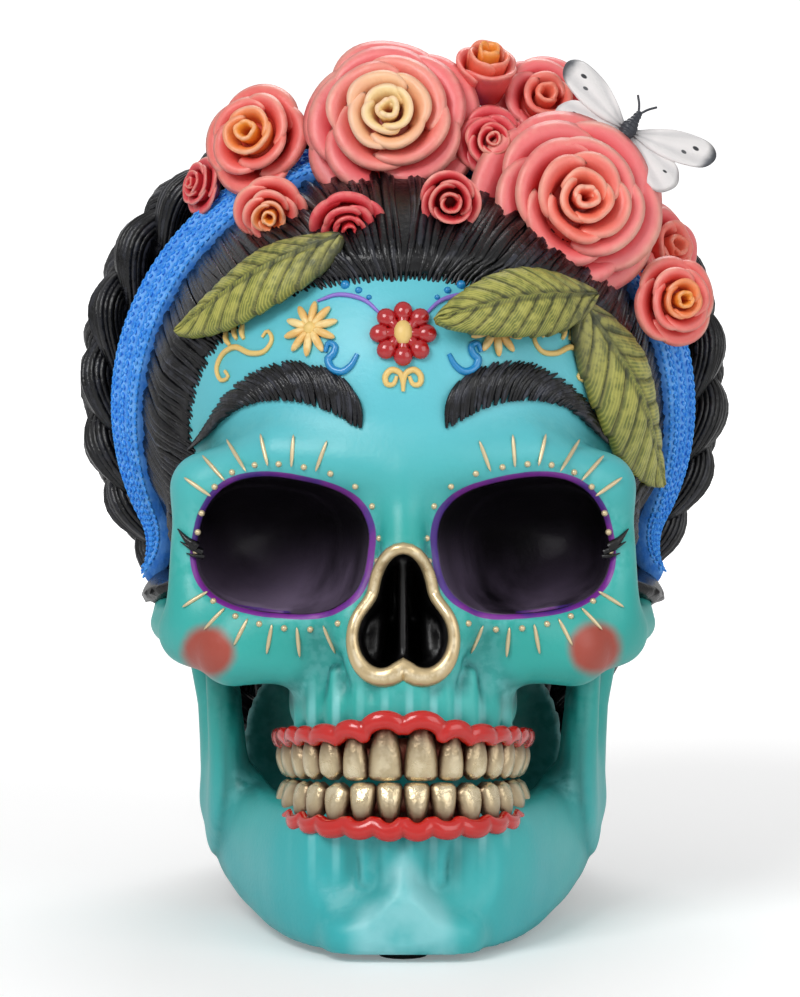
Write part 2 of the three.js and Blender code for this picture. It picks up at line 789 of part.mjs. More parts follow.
function makeBrow(side, extra) {
  const rows = browShares.map(([x, z], i) => {
    const seat = frontSeat(boneForm, side * x * headWidth, z * headHeight);
    return { ...seat, half: (browHeight * browHeightShares[i]) / 2 + extra };
  });
  const rings = rows.map(({ point, normal, half }) => {
    const centre = point.clone().addScaledVector(normal, glueGap);
    const across = normal.clone().cross(up.clone().cross(normal).normalize());
    const out = normal.clone().multiplyScalar(browThickness / 2 + extra);
    return oval(centre, across.multiplyScalar(half), out, 8);
  });
  return skin(rings);
}

const rimSteps = 16;
function makeNoseRim(extra) {
  const inside = (x, z) => {
    const q = new THREE.Vector3(Math.abs(x), 0, z);
    const top = place(noseTopShare).setY(0);
    const lobe = place(noseLobeShare).setY(0);
    const topHalf = new THREE.Vector3(noseWidth / 2, headLength, noseHeight / 2);
    const lobeHalf = new THREE.Vector3(noseLobeWidth / 2, headLength, noseLobeHeight / 2);
    return Math.min(lumpDistance(q, top, topHalf), lumpDistance(q, lobe, lobeHalf));
  };
  const centre = place(noseTopShare).lerp(place(noseLobeShare).setX(0), 1 / 2);
  const rings = Array.from({ length: rimSteps + 1 }, (_, i) => {
    const angle = ((i % rimSteps) / rimSteps) * Math.PI * 2 + Math.PI / 2;
    const ray = new THREE.Vector3(Math.cos(angle), 0, Math.sin(angle));
    let reach = noseHeight;
    for (let step = 0; step < marchSteps; step++) {
      reach -= (inside(centre.x + ray.x * reach, centre.z + ray.z * reach) - noseRimWidth / 2) * marchShare;
    }
    const seat = frontSeat(boneForm, centre.x + ray.x * reach, centre.z + ray.z * reach);
    const out = ray.clone().multiplyScalar(noseRimWidth / 2 + extra);
    const deep = new THREE.Vector3(0, noseRimDepth / 2 + extra, 0);
    return oval(seat.point.addScaledVector(forward, noseRimDepth / 4), out, deep, 5);
  });
  return ringSkin(rings.slice(0, rimSteps));
}

// A skin over rings that close on themselves, as on a hoop.
function ringSkin(rings) {
  const count = rings[0].length;
  const faces = [];
  rings.forEach((_, r) => {
    const next = (r + 1) % rings.length;
    for (let i = 0; i < count; i++) {
      const j = (i + 1) % count;
      const [a, b, c, d] = [r * count + i, r * count + j, next * count + j, next * count + i];
      faces.push(a, b, c, a, c, d);
    }
  });
  const geometry = new THREE.BufferGeometry().setFromPoints(rings.flat());
  geometry.setIndex(faces);
  return toSolid(geometry);
}

// A blossom of round petals on a spot of the forehead. Each ring is a share of its radius and of its height.
const blossomShares = [
  [0.35, 0.7],
  [0.75, 1],
  [1, -0.8],
];
const petalShares = [0.68, 1.04]; // the outline over one petal
function makeBlossom([x, z], petals, radius, extra) {
  const seat = frontSeat(boneForm, x * headWidth, z * headHeight);
  const turn = turnTo(seat.normal);
  const columns = petals * petalShares.length;
  const rings = blossomShares.map(([wide, tall]) =>
    Array.from({ length: columns }, (_, i) => {
      const angle = (i / columns) * Math.PI * 2;
      const reach = (radius + extra) * wide * petalShares[i % petalShares.length];
      const height = ornamentHeight * tall + extra * Math.sign(tall);
      return new THREE.Vector3(Math.cos(angle) * reach, Math.sin(angle) * reach, height)
        .applyQuaternion(turn)
        .add(seat.point);
    }),
  );
  return skin(rings);
}

function makeBlossomCentre([x, z], radius) {
  const seat = frontSeat(boneForm, x * headWidth, z * headHeight);
  const centre = seat.point.clone().addScaledVector(seat.normal, ornamentHeight / 2);
  return ball(centre, new THREE.Vector3(radius, radius, radius), turnTo(seat.normal));
}

// A raised line on the forehead through spots seen from the front, thin at both ends.
function makeScroll(spotShares, radius) {
  const points = smooth(spotShares.map(([x, z]) => new THREE.Vector3(x * headWidth, 0, z * headHeight)), 11);
  const seated = points.map((p) => {
    const seat = frontSeat(boneForm, p.x, p.z);
    return seat.point.addScaledVector(seat.normal, glueGap);
  });
  const radii = seated.map((_, i) => radius * (0.55 + 0.45 * Math.sin((i / (seated.length - 1)) * Math.PI)));
  return rod(seated, radii, 5);
}

// Flowers

// A rose: a bowl behind, and in front a dome with a spiral of petal edges.
const roseColumns = 15;
const roseShares = [0.16, 0.36, 0.56, 0.76, 1];
const bowlShares = [
  [0.94, -0.2],
  [0.5, -0.7],
];
const domeShare = 0.34; // how far the dome's middle stands out, of the radius
const petalRows = 3;
function makeRose({ atShare, face, radius, petals = 5, spin = 0 }, extra) {
  const centre = place(atShare);
  const turn = turnTo(face);
  const heightAt = (share, angle) => {
    const dome = domeShare * radius * (1 - share * share);
    const spiral = (share * petalRows + angle / (Math.PI * 2)) % 1;
    const lip = extra > 0 ? 1 : spiral ** 2;
    return dome + petalLip * lip * Math.min(1, share * 3, (1 - share) * 4) + extra * (1 - share);
  };
  const rimAt = (angle) => 1 + 0.05 * Math.cos(petals * angle + spin);
  const ring = (share, height) =>
    Array.from({ length: roseColumns }, (_, i) => {
      const angle = (i / roseColumns) * Math.PI * 2;
      const wide = share * (radius * rimAt(angle) + extra);
      const tall = height === null ? heightAt(share, angle + spin) : height * radius - extra;
      return new THREE.Vector3(Math.cos(angle) * wide, Math.sin(angle) * wide, tall)
        .applyQuaternion(turn)
        .add(centre);
    });
  const dome = roseShares.map((share) => ring(share, null));
  const bowl = bowlShares.map(([share, height]) => ring(share, height));
  return skin([...dome, ...bowl]);
}

// A bud: a pointed egg with closed petals.
const budShares = [
  [0.3, 1.15],
  [0.62, 0.95],
  [0.92, 0.45],
  [1, 0],
  [0.82, -0.5],
  [0.45, -0.9],
];
function makeBud({ atShare, face, radius }, extra) {
  const centre = place(atShare);
  const turn = turnTo(face);
  const rings = budShares.map(([share, height]) =>
    Array.from({ length: 10 }, (_, i) => {
      const angle = (i / 10) * Math.PI * 2;
      const flute = 1 + 0.08 * Math.cos(angle * 3 + height * 3);
      return new THREE.Vector3(Math.cos(angle) * share * flute, Math.sin(angle) * share * flute, height)
        .multiplyScalar(radius + extra)
        .applyQuaternion(turn)
        .add(centre);
    }),
  );
  return skin(rings);
}

// Leaves

const leafSteps = 7;
const leafDropShare = 0.3; // how far the blade's edges drop below the midrib, of the half width
function makeLeaf({ baseShare, middleShare, tipShare, face, width }, extra) {
  const path = smooth([baseShare, middleShare, tipShare].map(place), leafSteps);
  const rings = path.map((p, i) => {
    const share = i / leafSteps;
    const along = wayAt(path, i);
    const out = new THREE.Vector3(...face);
    out.addScaledVector(along, -out.dot(along)).normalize();
    const across = along.clone().cross(out);
    const half = (width / 2) * Math.max(0.14, Math.sin(Math.PI * share ** 0.85) ** 0.7) + extra;
    const at = (side, height) => p.clone().addScaledVector(across, side * half).addScaledVector(out, height);
    const drop = half * leafDropShare;
    const rib = leafThickness + extra;
    const edge = rib - drop;
    const under = -leafThickness - drop - extra;
    return [
      at(0, rib),
      at(-1, edge),
      at(-1, edge + under),
      at(0, under),
      at(1, edge + under),
      at(1, edge),
    ];
  });
  return skin(rings);
}

// Butterfly

const butterflyFacing = new THREE.Vector3(0.2, -0.9, 0.38).normalize();
const butterflyShare = [0.44, -0.24, 0.578];
const butterflyRollDegrees = 36;
function butterflyTurn() {
  const roll = new THREE.Quaternion().setFromAxisAngle(up, THREE.MathUtils.degToRad(-butterflyRollDegrees));
  return turnTo(butterflyFacing).multiply(roll);
}

function makeButterflyBody(extra) {
  const half = new THREE.Vector3(butterflyRadius, butterflyLength / 2, butterflyRadius).addScalar(extra);
  return ball(place(butterflyShare), half, butterflyTurn());
}

// Each wing point is a share of the wing's length, from the body outwards.
const wingShares = [
  [0.02, 0.14],
  [0.45, 0.36],
  [0.85, 0.4],
  [1.02, 0.27],
  [0.95, 0.05],
  [0.68, -0.08],
  [0.8, -0.3],
  [0.66, -0.48],
  [0.36, -0.4],
  [0.02, -0.14],
];
function makeWing(side, extra) {
  const start = butterflyRadius + glueGap * 2 - extra;
  const outline = wingShares
    .map(([x, y]) => new THREE.Vector2(x, y).multiplyScalar(wingLength))
    .map((spot) => spot.set(side * (start + spot.x), spot.y));
  const depth = wingThickness + extra * 2;
  const geometry = new THREE.ExtrudeGeometry(new THREE.Shape(outline), { depth, bevelEnabled: false });
  geometry.translate(0, 0, -depth / 2).applyQuaternion(butterflyTurn());
  return toSolid(geometry.translate(...place(butterflyShare).toArray()));
}

// Materials

function paint(colour, roughness, metalness = 0) {
  return new THREE.MeshStandardMaterial({ color: colour, roughness, metalness });
}
const turquoise = paint(0x35b8bd, 0.5);
const blackHair = paint(0x17171c, 0.45);
const blueCloth = paint(0x1f7fe0, 0.8);
const goldPaint = paint(0xc0a878, 0.35, 0.6);
const gumRed = paint(0xd8251c, 0.3);
const flowerRed = paint(0xa5141c, 0.35);
const ochre = paint(0xe8c070, 0.5);
const scrollBlue = paint(0x1d86b8, 0.4);
const rosePink = paint(0xf0646c, 0.5);
const leafGreen = paint(0x8a9642, 0.6);
const wingWhite = paint(0xd9d6d6, 0.5);
const insectBlack = paint(0x2a2c33, 0.5);
const felt = paint(0x1a1a1a, 0.95);
const plugGrey = paint(0x3a3c3e, 0.7);

// What is set on the forehead, seen from the front as shares of the head's width and height
const redSpotShare = [0, 0.315];
const daisySpotShare = [0.178, 0.322];
const blueScrollShares = [
  [0.125, 0.3],
  [0.098, 0.305],
  [0.085, 0.288],
  [0.105, 0.272],
  [0.14, 0.276],
  [0.147, 0.293],
];
const goldCurlShares = [
  [-0.03, 0.25],
  [-0.035, 0.262],
  [-0.012, 0.264],
  [0, 0.242],
  [0.012, 0.264],
  [0.035, 0.262],
  [0.03, 0.25],
];
const goldScrollShares = [
  [0.255, 0.325],
  [0.26, 0.308],
  [0.285, 0.3],
  [0.32, 0.305],
  [0.335, 0.288],
  [0.33, 0.275],
];
const flip = ([x, z]) => [-x, z];
const flower = { name: "red_flower", spotShare: redSpotShare, petals: 8, material: flowerRed };
const daisy = { petals: 9, radius: daisyRadius, centreRadius: daisyCentreRadius, material: ochre };
const blossoms = [
  { ...flower, radius: redFlowerRadius, centreRadius: redCentreRadius },
  { ...daisy, name: "daisy_left", spotShare: flip(daisySpotShare) },
  { ...daisy, name: "daisy_right", spotShare: daisySpotShare },
];
const scrolls = [
  { name: "blue_scroll_left", spotShares: blueScrollShares.map(flip), material: scrollBlue },
  { name: "blue_scroll_right", spotShares: blueScrollShares, material: scrollBlue },
  { name: "gold_curl", spotShares: goldCurlShares, material: ochre },
  { name: "gold_scroll_left", spotShares: goldScrollShares.map(flip), material: ochre },
  { name: "gold_scroll_right", spotShares: goldScrollShares, material: ochre },
];

// The crown, whose flowers look along the level and upward shares of a unit facing
const tilted = (x, z) => new THREE.Vector3(x, -Math.sqrt(1 - x * x - z * z), z);
const leaves = [
  {
    name: "leaf_left",
    baseShare: [-0.112, -0.45, 0.433],
    middleShare: [-0.267, -0.435, 0.392],
    tipShare: [-0.431, -0.325, 0.315],
    face: [-0.54, -0.68, 0.5],
    width: shortLeafWidth,
  },
  {
    name: "leaf_middle",
    baseShare: [0.366, -0.38, 0.362],
    middleShare: [0.216, -0.5, 0.356],
    tipShare: [0.057, -0.55, 0.33],
    face: [0.45, -0.8, 0.39],
    width: shortLeafWidth,
  },
  {
    name: "leaf_right",
    baseShare: [0.336, -0.4, 0.354],
    middleShare: [0.44, -0.345, 0.25],
    tipShare: [0.495, -0.17, 0.126],
    face: [0.72, -0.68, 0.15],
    width: longLeafWidth,
  },
];
const rose = { make: makeRose, material: rosePink };
const bud = { make: makeBud, material: rosePink };
const flowers = [
  {
    ...rose,
    name: "rose_left",
    atShare: [-0.035, -0.3, 0.58],
    face: tilted(-0.06, 0.3),
    radius: largeRoseRadius,
  },
  {
    ...rose,
    name: "rose_right",
    atShare: [0.335, -0.34, 0.485],
    face: tilted(0.28, 0.16),
    radius: widestRoseRadius,
    spin: 1,
  },
  {
    ...rose,
    name: "rose_back",
    atShare: [0.27, -0.17, 0.612],
    face: tilted(0.2, 0.45),
    radius: mediumRoseRadius,
    spin: 2,
  },
  {
    ...rose,
    name: "rose_side",
    atShare: [0.525, -0.24, 0.36],
    face: tilted(0.45, 0.05),
    radius: smallRoseRadius,
    petals: 3,
  },
  {
    ...rose,
    name: "rose_temple",
    atShare: [0.5, -0.13, 0.425],
    face: tilted(0.75, 0.2),
    radius: mediumRoseRadius,
    spin: 3,
  },
  {
    ...rose,
    name: "rose_far_left",
    atShare: [-0.285, -0.2, 0.565],
    face: tilted(-0.4, 0.3),
    radius: mediumRoseRadius,
    spin: 4,
  },
  {
    ...bud,
    name: "bud_far_left",
    atShare: [-0.385, -0.14, 0.51],
    face: tilted(-0.85, 0.2),
    radius: smallBudRadius,
  },
  {
    ...bud,
    name: "bud_left",
    atShare: [-0.25, -0.31, 0.475],
    face: tilted(-0.15, -0.35),
    radius: budRadius,
  },
  {
    ...bud,
    name: "ruffle",
    atShare: [-0.11, -0.375, 0.46],
    face: tilted(0.1, -0.5),
    radius: budRadius,
  },
  {
    ...bud,
    name: "bud_middle",
    atShare: [0.085, -0.37, 0.475],
    face: tilted(0.05, -0.1),
    radius: budRadius,
  },
  {
    ...bud,
    name: "bud_top",
    atShare: [0.155, -0.2, 0.64],
    face: tilted(0.15, 0.8),
    radius: budRadius,
  },
  {
    ...bud,
    name: "petals_middle",
    atShare: [0.165, -0.26, 0.56],
    face: tilted(0.1, 0.2),
    radius: budRadius,
  },
];

// One pad is under the chin and two are under the nape.
const pads = [
  { name: "pad_front", spotShare: [0, -0.49, -0.44], radius: frontPadRadius },
  { name: "pad_left", spotShare: [-0.15, 0.2, -0.36], radius: padRadius },
  { name: "pad_right", spotShare: [0.15, 0.2, -0.36], radius: padRadius },
];

// Assembly

const headMatrix = new THREE.Matrix4().makeRotationX(-lean);
const restLevel = padThickness + glueGap;
const chinBottom = place(jawEdgeShares[0].slice(0, 3)).addScaledVector(up, -jawEdgeShares[0][3] * headHeight);
headMatrix.setPosition(0, 0, restLevel - chinFlat - chinBottom.clone().applyMatrix4(headMatrix).z);
const floor = makeFloor(restLevel);

// Every piece is made by a function of how much larger than itself it should be, which gives the cutter that
// keeps a glue gap around it. Each new piece is cut by all the earlier ones.
const pieces = [];
function addPiece(name, material, make, cutters = pieces.map((piece) => piece.grown)) {
  pieces.push({ name, material, solid: mainBody(cut(make(0), [...cutters, floor])), grown: make(glueGap) });
}

addPiece("skull_shell", turquoise, makeSkull);
addPiece("pour_hole_plug", plugGrey, makePlug, []);
addPiece("lower_jaw", turquoise, makeJaw);
addPiece("upper_teeth", goldPaint, (extra) => makeTeeth(upperTeeth, 1, extra));
addPiece("lower_teeth", goldPaint, (extra) => makeTeeth(lowerTeeth, -1, extra));
addPiece("upper_gum", gumRed, (extra) => makeGum(upperTeeth, 1, extra));
addPiece("lower_gum", gumRed, (extra) => makeGum(lowerTeeth, -1, extra));
addPiece("nose_rim", goldPaint, makeNoseRim);
addPiece("hair_cap", blackHair, makeHair);
addPiece("headband", blueCloth, makeBand);
addPiece("braid_left", blackHair, (extra) => makeBraid(-1, extra));
addPiece("braid_right", blackHair, (extra) => makeBraid(1, extra));

for (const { name, ...leaf } of leaves) addPiece(name, leafGreen, (extra) => makeLeaf(leaf, extra));
for (const { name, spotShare, petals, radius, centreRadius, material } of blossoms) {
  addPiece(name + "_centre", ochre, (extra) => makeBlossomCentre(spotShare, centreRadius + extra));
  addPiece(name, material, (extra) => makeBlossom(spotShare, petals, radius, extra));
}
addPiece("brow_left", blackHair, (extra) => makeBrow(-1, extra));
addPiece("brow_right", blackHair, (extra) => makeBrow(1, extra));
for (const { name, spotShares, material } of scrolls) {
  addPiece(name, material, (extra) => makeScroll(spotShares, scrollRadius + extra));
}
for (const { name, make, material, ...flower } of flowers) {
  addPiece(name, material, (extra) => make(flower, extra));
}
addPiece("butterfly_body", insectBlack, makeButterflyBody);
addPiece("wing_left", wingWhite, (extra) => makeWing(-1, extra));
addPiece("wing_right", wingWhite, (extra) => makeWing(1, extra));

const headGroup = new THREE.Group();
headGroup.applyMatrix4(headMatrix);
for (const { name, solid, material } of pieces) headGroup.add(toMesh(name, solid, material));

const ornament = new THREE.Group();
ornament.add(headGroup);
for (const { name, spotShare, radius } of pads) {
  const under = place(spotShare).applyMatrix4(headMatrix);
  const disc = cylinder(radius, padThickness, under.setZ(padThickness / 2));
  ornament.add(toMesh(name, disc, felt));
}

// The footprint's middle goes to the origin.
ornament.updateMatrixWorld(true);
const extent = new THREE.Box3().setFromObject(ornament, true);
ornament.position.set(-(extent.min.x + extent.max.x) / 2, -(extent.min.y + extent.max.y) / 2, 0);

export default ornament;
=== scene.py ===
# Sugar skull ornament: painted resin with plaited hair, a knitted headband and a crown of roses.
import math
import random

import bpy
import numpy as np
import openvdb as vdb
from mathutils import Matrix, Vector


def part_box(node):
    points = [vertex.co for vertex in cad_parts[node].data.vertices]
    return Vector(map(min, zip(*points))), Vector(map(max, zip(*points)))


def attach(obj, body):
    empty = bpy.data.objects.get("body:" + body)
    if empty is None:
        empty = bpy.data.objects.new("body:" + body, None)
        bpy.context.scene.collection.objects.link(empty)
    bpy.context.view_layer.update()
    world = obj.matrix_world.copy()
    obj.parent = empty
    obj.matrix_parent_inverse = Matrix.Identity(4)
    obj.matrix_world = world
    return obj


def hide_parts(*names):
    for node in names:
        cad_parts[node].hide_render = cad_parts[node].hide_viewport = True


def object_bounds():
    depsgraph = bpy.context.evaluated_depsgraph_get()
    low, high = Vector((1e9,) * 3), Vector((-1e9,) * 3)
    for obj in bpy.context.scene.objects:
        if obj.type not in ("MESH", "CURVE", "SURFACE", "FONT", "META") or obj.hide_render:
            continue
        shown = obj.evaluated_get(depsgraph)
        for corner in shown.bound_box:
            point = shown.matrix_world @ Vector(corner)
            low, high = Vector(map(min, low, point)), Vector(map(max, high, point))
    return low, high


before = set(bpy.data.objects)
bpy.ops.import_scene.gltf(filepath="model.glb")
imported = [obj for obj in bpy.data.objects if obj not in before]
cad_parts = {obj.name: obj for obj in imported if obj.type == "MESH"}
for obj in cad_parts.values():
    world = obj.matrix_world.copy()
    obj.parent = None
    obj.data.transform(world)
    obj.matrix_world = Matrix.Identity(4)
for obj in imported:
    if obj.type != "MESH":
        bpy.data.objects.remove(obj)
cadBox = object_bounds()
print("frame loaded")

# The head's own frame is in millimetres: x to the viewer's right, y back, z up, with the ear line at zero.
# It leans back on the felt pads.
head = {"width": 116.0, "length": 148.0, "height": 178.0, "lean": 8.0, "origin": (-0.65, 6.18, 72.32)}
headSize = np.array([head["width"], head["length"], head["height"]])
leanCos = math.cos(math.radians(head["lean"]))
leanSin = math.sin(math.radians(head["lean"]))
leanTurn = np.array([[1, 0, 0], [0, leanCos, leanSin], [0, -leanSin, leanCos]])
upWay = np.array([0.0, 0.0, 1.0])
boxMargin = 0.00015
floorLevel = 1.95
perMetre = 1000


def toRow(points):  # head frame in mm to the row's frame in metres
    return (np.asarray(points, float) @ leanTurn.T + np.array(head["origin"])) / perMetre


def toHead(points):
    return (np.asarray(points, float) * perMetre - np.array(head["origin"])) @ leanTurn


def place(shares):  # shares of the head's width, length and height
    return np.asarray(shares, float) * headSize


def unit(v):
    return v / np.maximum(np.linalg.norm(v, axis=-1, keepdims=True), 1e-9)


# Signed distance forms, negative inside. A point is a tuple of x, y and z arrays.

def lump(p, centre, half, turn=None, power=2.0):
    x, y, z = (p[i] - centre[i] for i in range(3))
    if turn is not None:  # yaw, then roll, in degrees
        c, s = math.cos(math.radians(turn[0])), math.sin(math.radians(turn[0]))
        x, y = c * x + s * y, c * y - s * x
        c, s = math.cos(math.radians(turn[1])), math.sin(math.radians(turn[1]))
        x, z = c * x - s * z, s * x + c * z
    if power != 2.0:
        squared = (np.abs(x / half[0]) ** power + np.abs(z / half[2]) ** power) ** (1 / power)
        return (np.sqrt(squared ** 2 + (y / half[1]) ** 2) - 1) * min(half)
    near = np.sqrt((x / half[0]) ** 2 + (y / half[1]) ** 2 + (z / half[2]) ** 2)
    slope = np.sqrt((x / half[0] ** 2) ** 2 + (y / half[1] ** 2) ** 2 + (z / half[2] ** 2) ** 2)
    return near * (near - 1) / np.maximum(slope, 1e-6)


def bar(p, start, end, startRadius, endRadius):
    way = [end[i] - start[i] for i in range(3)]
    reach = sum(w * w for w in way)
    share = np.clip(sum((p[i] - start[i]) * way[i] for i in range(3)) / reach, 0, 1)
    near = np.sqrt(sum((p[i] - start[i] - share * way[i]) ** 2 for i in range(3)))
    return near - (startRadius + (endRadius - startRadius) * share)


def bars(p, points, radii):
    parts = [bar(p, points[i], points[i + 1], radii[i], radii[i + 1]) for i in range(len(points) - 1)]
    return np.minimum.reduce(parts)


def blend(a, b, width):
    share = np.clip(0.5 + 0.5 * (b - a) / width, 0, 1)
    return b + (a - b) * share - width * share * (1 - share)


def carve(a, b, width):
    return -blend(-a, b, width)


def grow(q, d, parts):  # blends parts onto a form, each a kind, its sizes and its blend's width
    for kind, sizes, width in parts:
        part = kind(q, *sizes)
        d = part if d is None else blend(d, part, width)
    return d


def floorForm(p):  # the plane that the ornament's underside ends at
    return floorLevel - (leanCos * p[2] - leanSin * p[1] + head["origin"][2])


def mirrored(p):  # the right half stands for both
    return (np.abs(p[0]), p[1], p[2])


def columns(points):
    return tuple(np.asarray(points)[..., i] for i in range(3))


def slopeOf(form, points, step=0.4):
    points = np.asarray(points, float)
    parts = []
    for axis in range(3):
        offset = np.zeros(3)
        offset[axis] = step
        parts.append(form(columns(points + offset)) - form(columns(points - offset)))
    return unit(np.stack(parts, axis=-1))


def settle(form, points, rounds=3):  # moves points onto a form's surface
    for _ in range(rounds):
        points = points - slopeOf(form, points) * form(columns(points))[..., None]
    return points


def fromFront(form, x, z):  # where lines from straight in front meet the form
    x, z = np.broadcast_arrays(np.asarray(x, float), np.asarray(z, float))
    y = np.full(x.shape, -head["length"])
    for _ in range(60):
        y = y + form((x, y, z)) * 0.7
    return np.stack([x, y, z], axis=-1)


# Pieces

def inBox(verts):  # nothing reaches past the CAD model's own box
    return np.clip(verts, np.array(cadBox[0]) + boxMargin, np.array(cadBox[1]) - boxMargin)


def setValues(mesh, values, kind="FLOAT", field="value"):
    for key, value in values.items():
        layer = mesh.attributes.new(key, kind, "POINT")
        layer.data.foreach_set(field, np.ascontiguousarray(value, dtype=np.float32).ravel())


def makeMesh(name, verts, faces, values=None):  # verts in the row's frame, in metres
    mesh = bpy.data.meshes.new(name)
    mesh.from_pydata(inBox(np.asarray(verts)).tolist(), [], faces)
    setValues(mesh, values or {})
    mesh.shade_smooth()
    mesh.update()
    return mesh


def addPiece(mesh, name, material, nodes=()):  # a mesh from a tree brings its own material
    piece = bpy.data.objects.new(name, mesh)
    bpy.context.scene.collection.objects.link(piece)
    if material is not None:
        mesh.materials.clear()
        mesh.materials.append(material)
    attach(piece, "root")
    if nodes:
        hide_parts(*nodes)


def addSolid(solid, name, material,
             nodes=()):  # a solid is verts in the head's frame, faces and values
    verts, faces, values = solid
    addPiece(makeMesh(name, toRow(verts), faces, values), name, material, nodes)


def formMesh(name, form, low, high, cell, valuesAt=None):
    low, high = np.array(low, float), np.array(high, float)
    axes = [np.arange(low[i], high[i] + cell, cell) for i in range(3)]
    grid = np.meshgrid(*axes, indexing="ij")
    field = vdb.FloatGrid(2.0)
    field.copyFromArray(np.ascontiguousarray(form(tuple(grid)), dtype=np.float32))
    points, quads = field.convertToQuads(isovalue=0.0)
    points = settle(form, points * cell + low, rounds=1)
    return makeMesh(name, toRow(points), quads[:, ::-1].tolist(), valuesAt(points) if valuesAt else None)


def joined(parts):  # parts are verts, faces and attributes
    verts, faces, values, start = [], [], {}, 0
    for v, f, a in parts:
        verts.append(v)
        faces += [[i + start for i in face] for face in f]
        for key, value in a.items():
            values.setdefault(key, []).append(value)
        start += len(v)
    return np.concatenate(verts), faces, {key: np.concatenate(value) for key, value in values.items()}


def skin(rings, attributes=None, closed=False):  # rings is rows of points around, with caps unless closed
    rows, count = rings.shape[:2]
    faces = []
    for r in range(rows if closed else rows - 1):
        below, above = r * count, ((r + 1) % rows) * count
        faces += [(below + i, below + (i + 1) % count, above + (i + 1) % count,
                   above + i) for i in range(count)]
    if not closed:
        faces += [list(range(count))[::-1], [(rows - 1) * count + i for i in range(count)]]
    return rings.reshape(-1, 3), faces, {k: np.asarray(v).reshape(-1) for k,
                                         v in (attributes or {}).items()}


def sheet(top, bottom, attributes):  # a closed slab whose two faces meet at the border
    rows, count = top.shape[:2]
    border = np.zeros((rows, count), bool)
    border[[0, -1]] = True
    border[:, [0, -1]] = True
    middle = (top + bottom) / 2
    top = np.where(border[..., None], middle, top)
    upper = np.arange(rows * count).reshape(rows, count)
    lower = upper.copy()
    lower[~border] = rows * count + np.arange((~border).sum())
    faces = []
    for i in range(rows - 1):
        for j in range(count - 1):
            faces.append((upper[i, j], upper[i + 1, j], upper[i + 1, j + 1], upper[i, j + 1]))
            faces.append((lower[i, j], lower[i, j + 1], lower[i + 1, j + 1], lower[i + 1, j]))
    verts = np.concatenate([top.reshape(-1, 3), bottom[~border]])
    values = {k: np.concatenate([v.reshape(-1), v[~border]]) for k, v in attributes.items()}
    return verts, [tuple(int(i) for i in face) for face in faces], values


def smoothPath(points, count):  # a centripetal curve through points, evenly spaced
    points = np.asarray(points, float)
    ends = np.vstack([2 * points[0] - points[1], points, 2 * points[-1] - points[-2]])
    found = []
    for i in range(1, len(ends) - 2):
        p0, p1, p2, p3 = ends[i - 1:i + 3]
        t1 = np.linalg.norm(p1 - p0) ** 0.5
        t2 = t1 + np.linalg.norm(p2 - p1) ** 0.5
        t3 = t2 + np.linalg.norm(p3 - p2) ** 0.5
        t = np.linspace(t1, t2, 24, endpoint=False)[:, None]
        a1 = (t1 - t) / t1 * p0 + t / t1 * p1
        a2 = (t2 - t) / (t2 - t1) * p1 + (t - t1) / (t2 - t1) * p2
        a3 = (t3 - t) / (t3 - t2) * p2 + (t - t2) / (t3 - t2) * p3
        b1 = (t2 - t) / t2 * a1 + t / t2 * a2
        b2 = (t3 - t) / (t3 - t1) * a2 + (t - t1) / (t3 - t1) * a3
        found.append((t2 - t) / (t2 - t1) * b1 + (t - t1) / (t2 - t1) * b2)
    found = np.vstack(found + [points[-1:]])
    return evenly(found, count)


def evenly(points, count):
    reach = np.concatenate([[0], np.cumsum(np.linalg.norm(np.diff(points, axis=0), axis=1))])
    at = np.linspace(0, reach[-1], count)
    return np.stack([np.interp(at, reach, points[:, i]) for i in range(3)], axis=-1)


def bothWays(points):
    points = np.asarray(points, float)
    return np.vstack([points[:0:-1] * np.array([-1, 1, 1]), points])


# Node helpers

def colour(code):  # a colour written as in a paint chart, in linear light
    parts = [int(code[i:i + 2], 16) / 255 for i in (0, 2, 4)]
    return (*[c / 12.92 if c <= 0.04045 else ((c + 0.055) / 1.055) ** 2.4 for c in parts], 1.0)


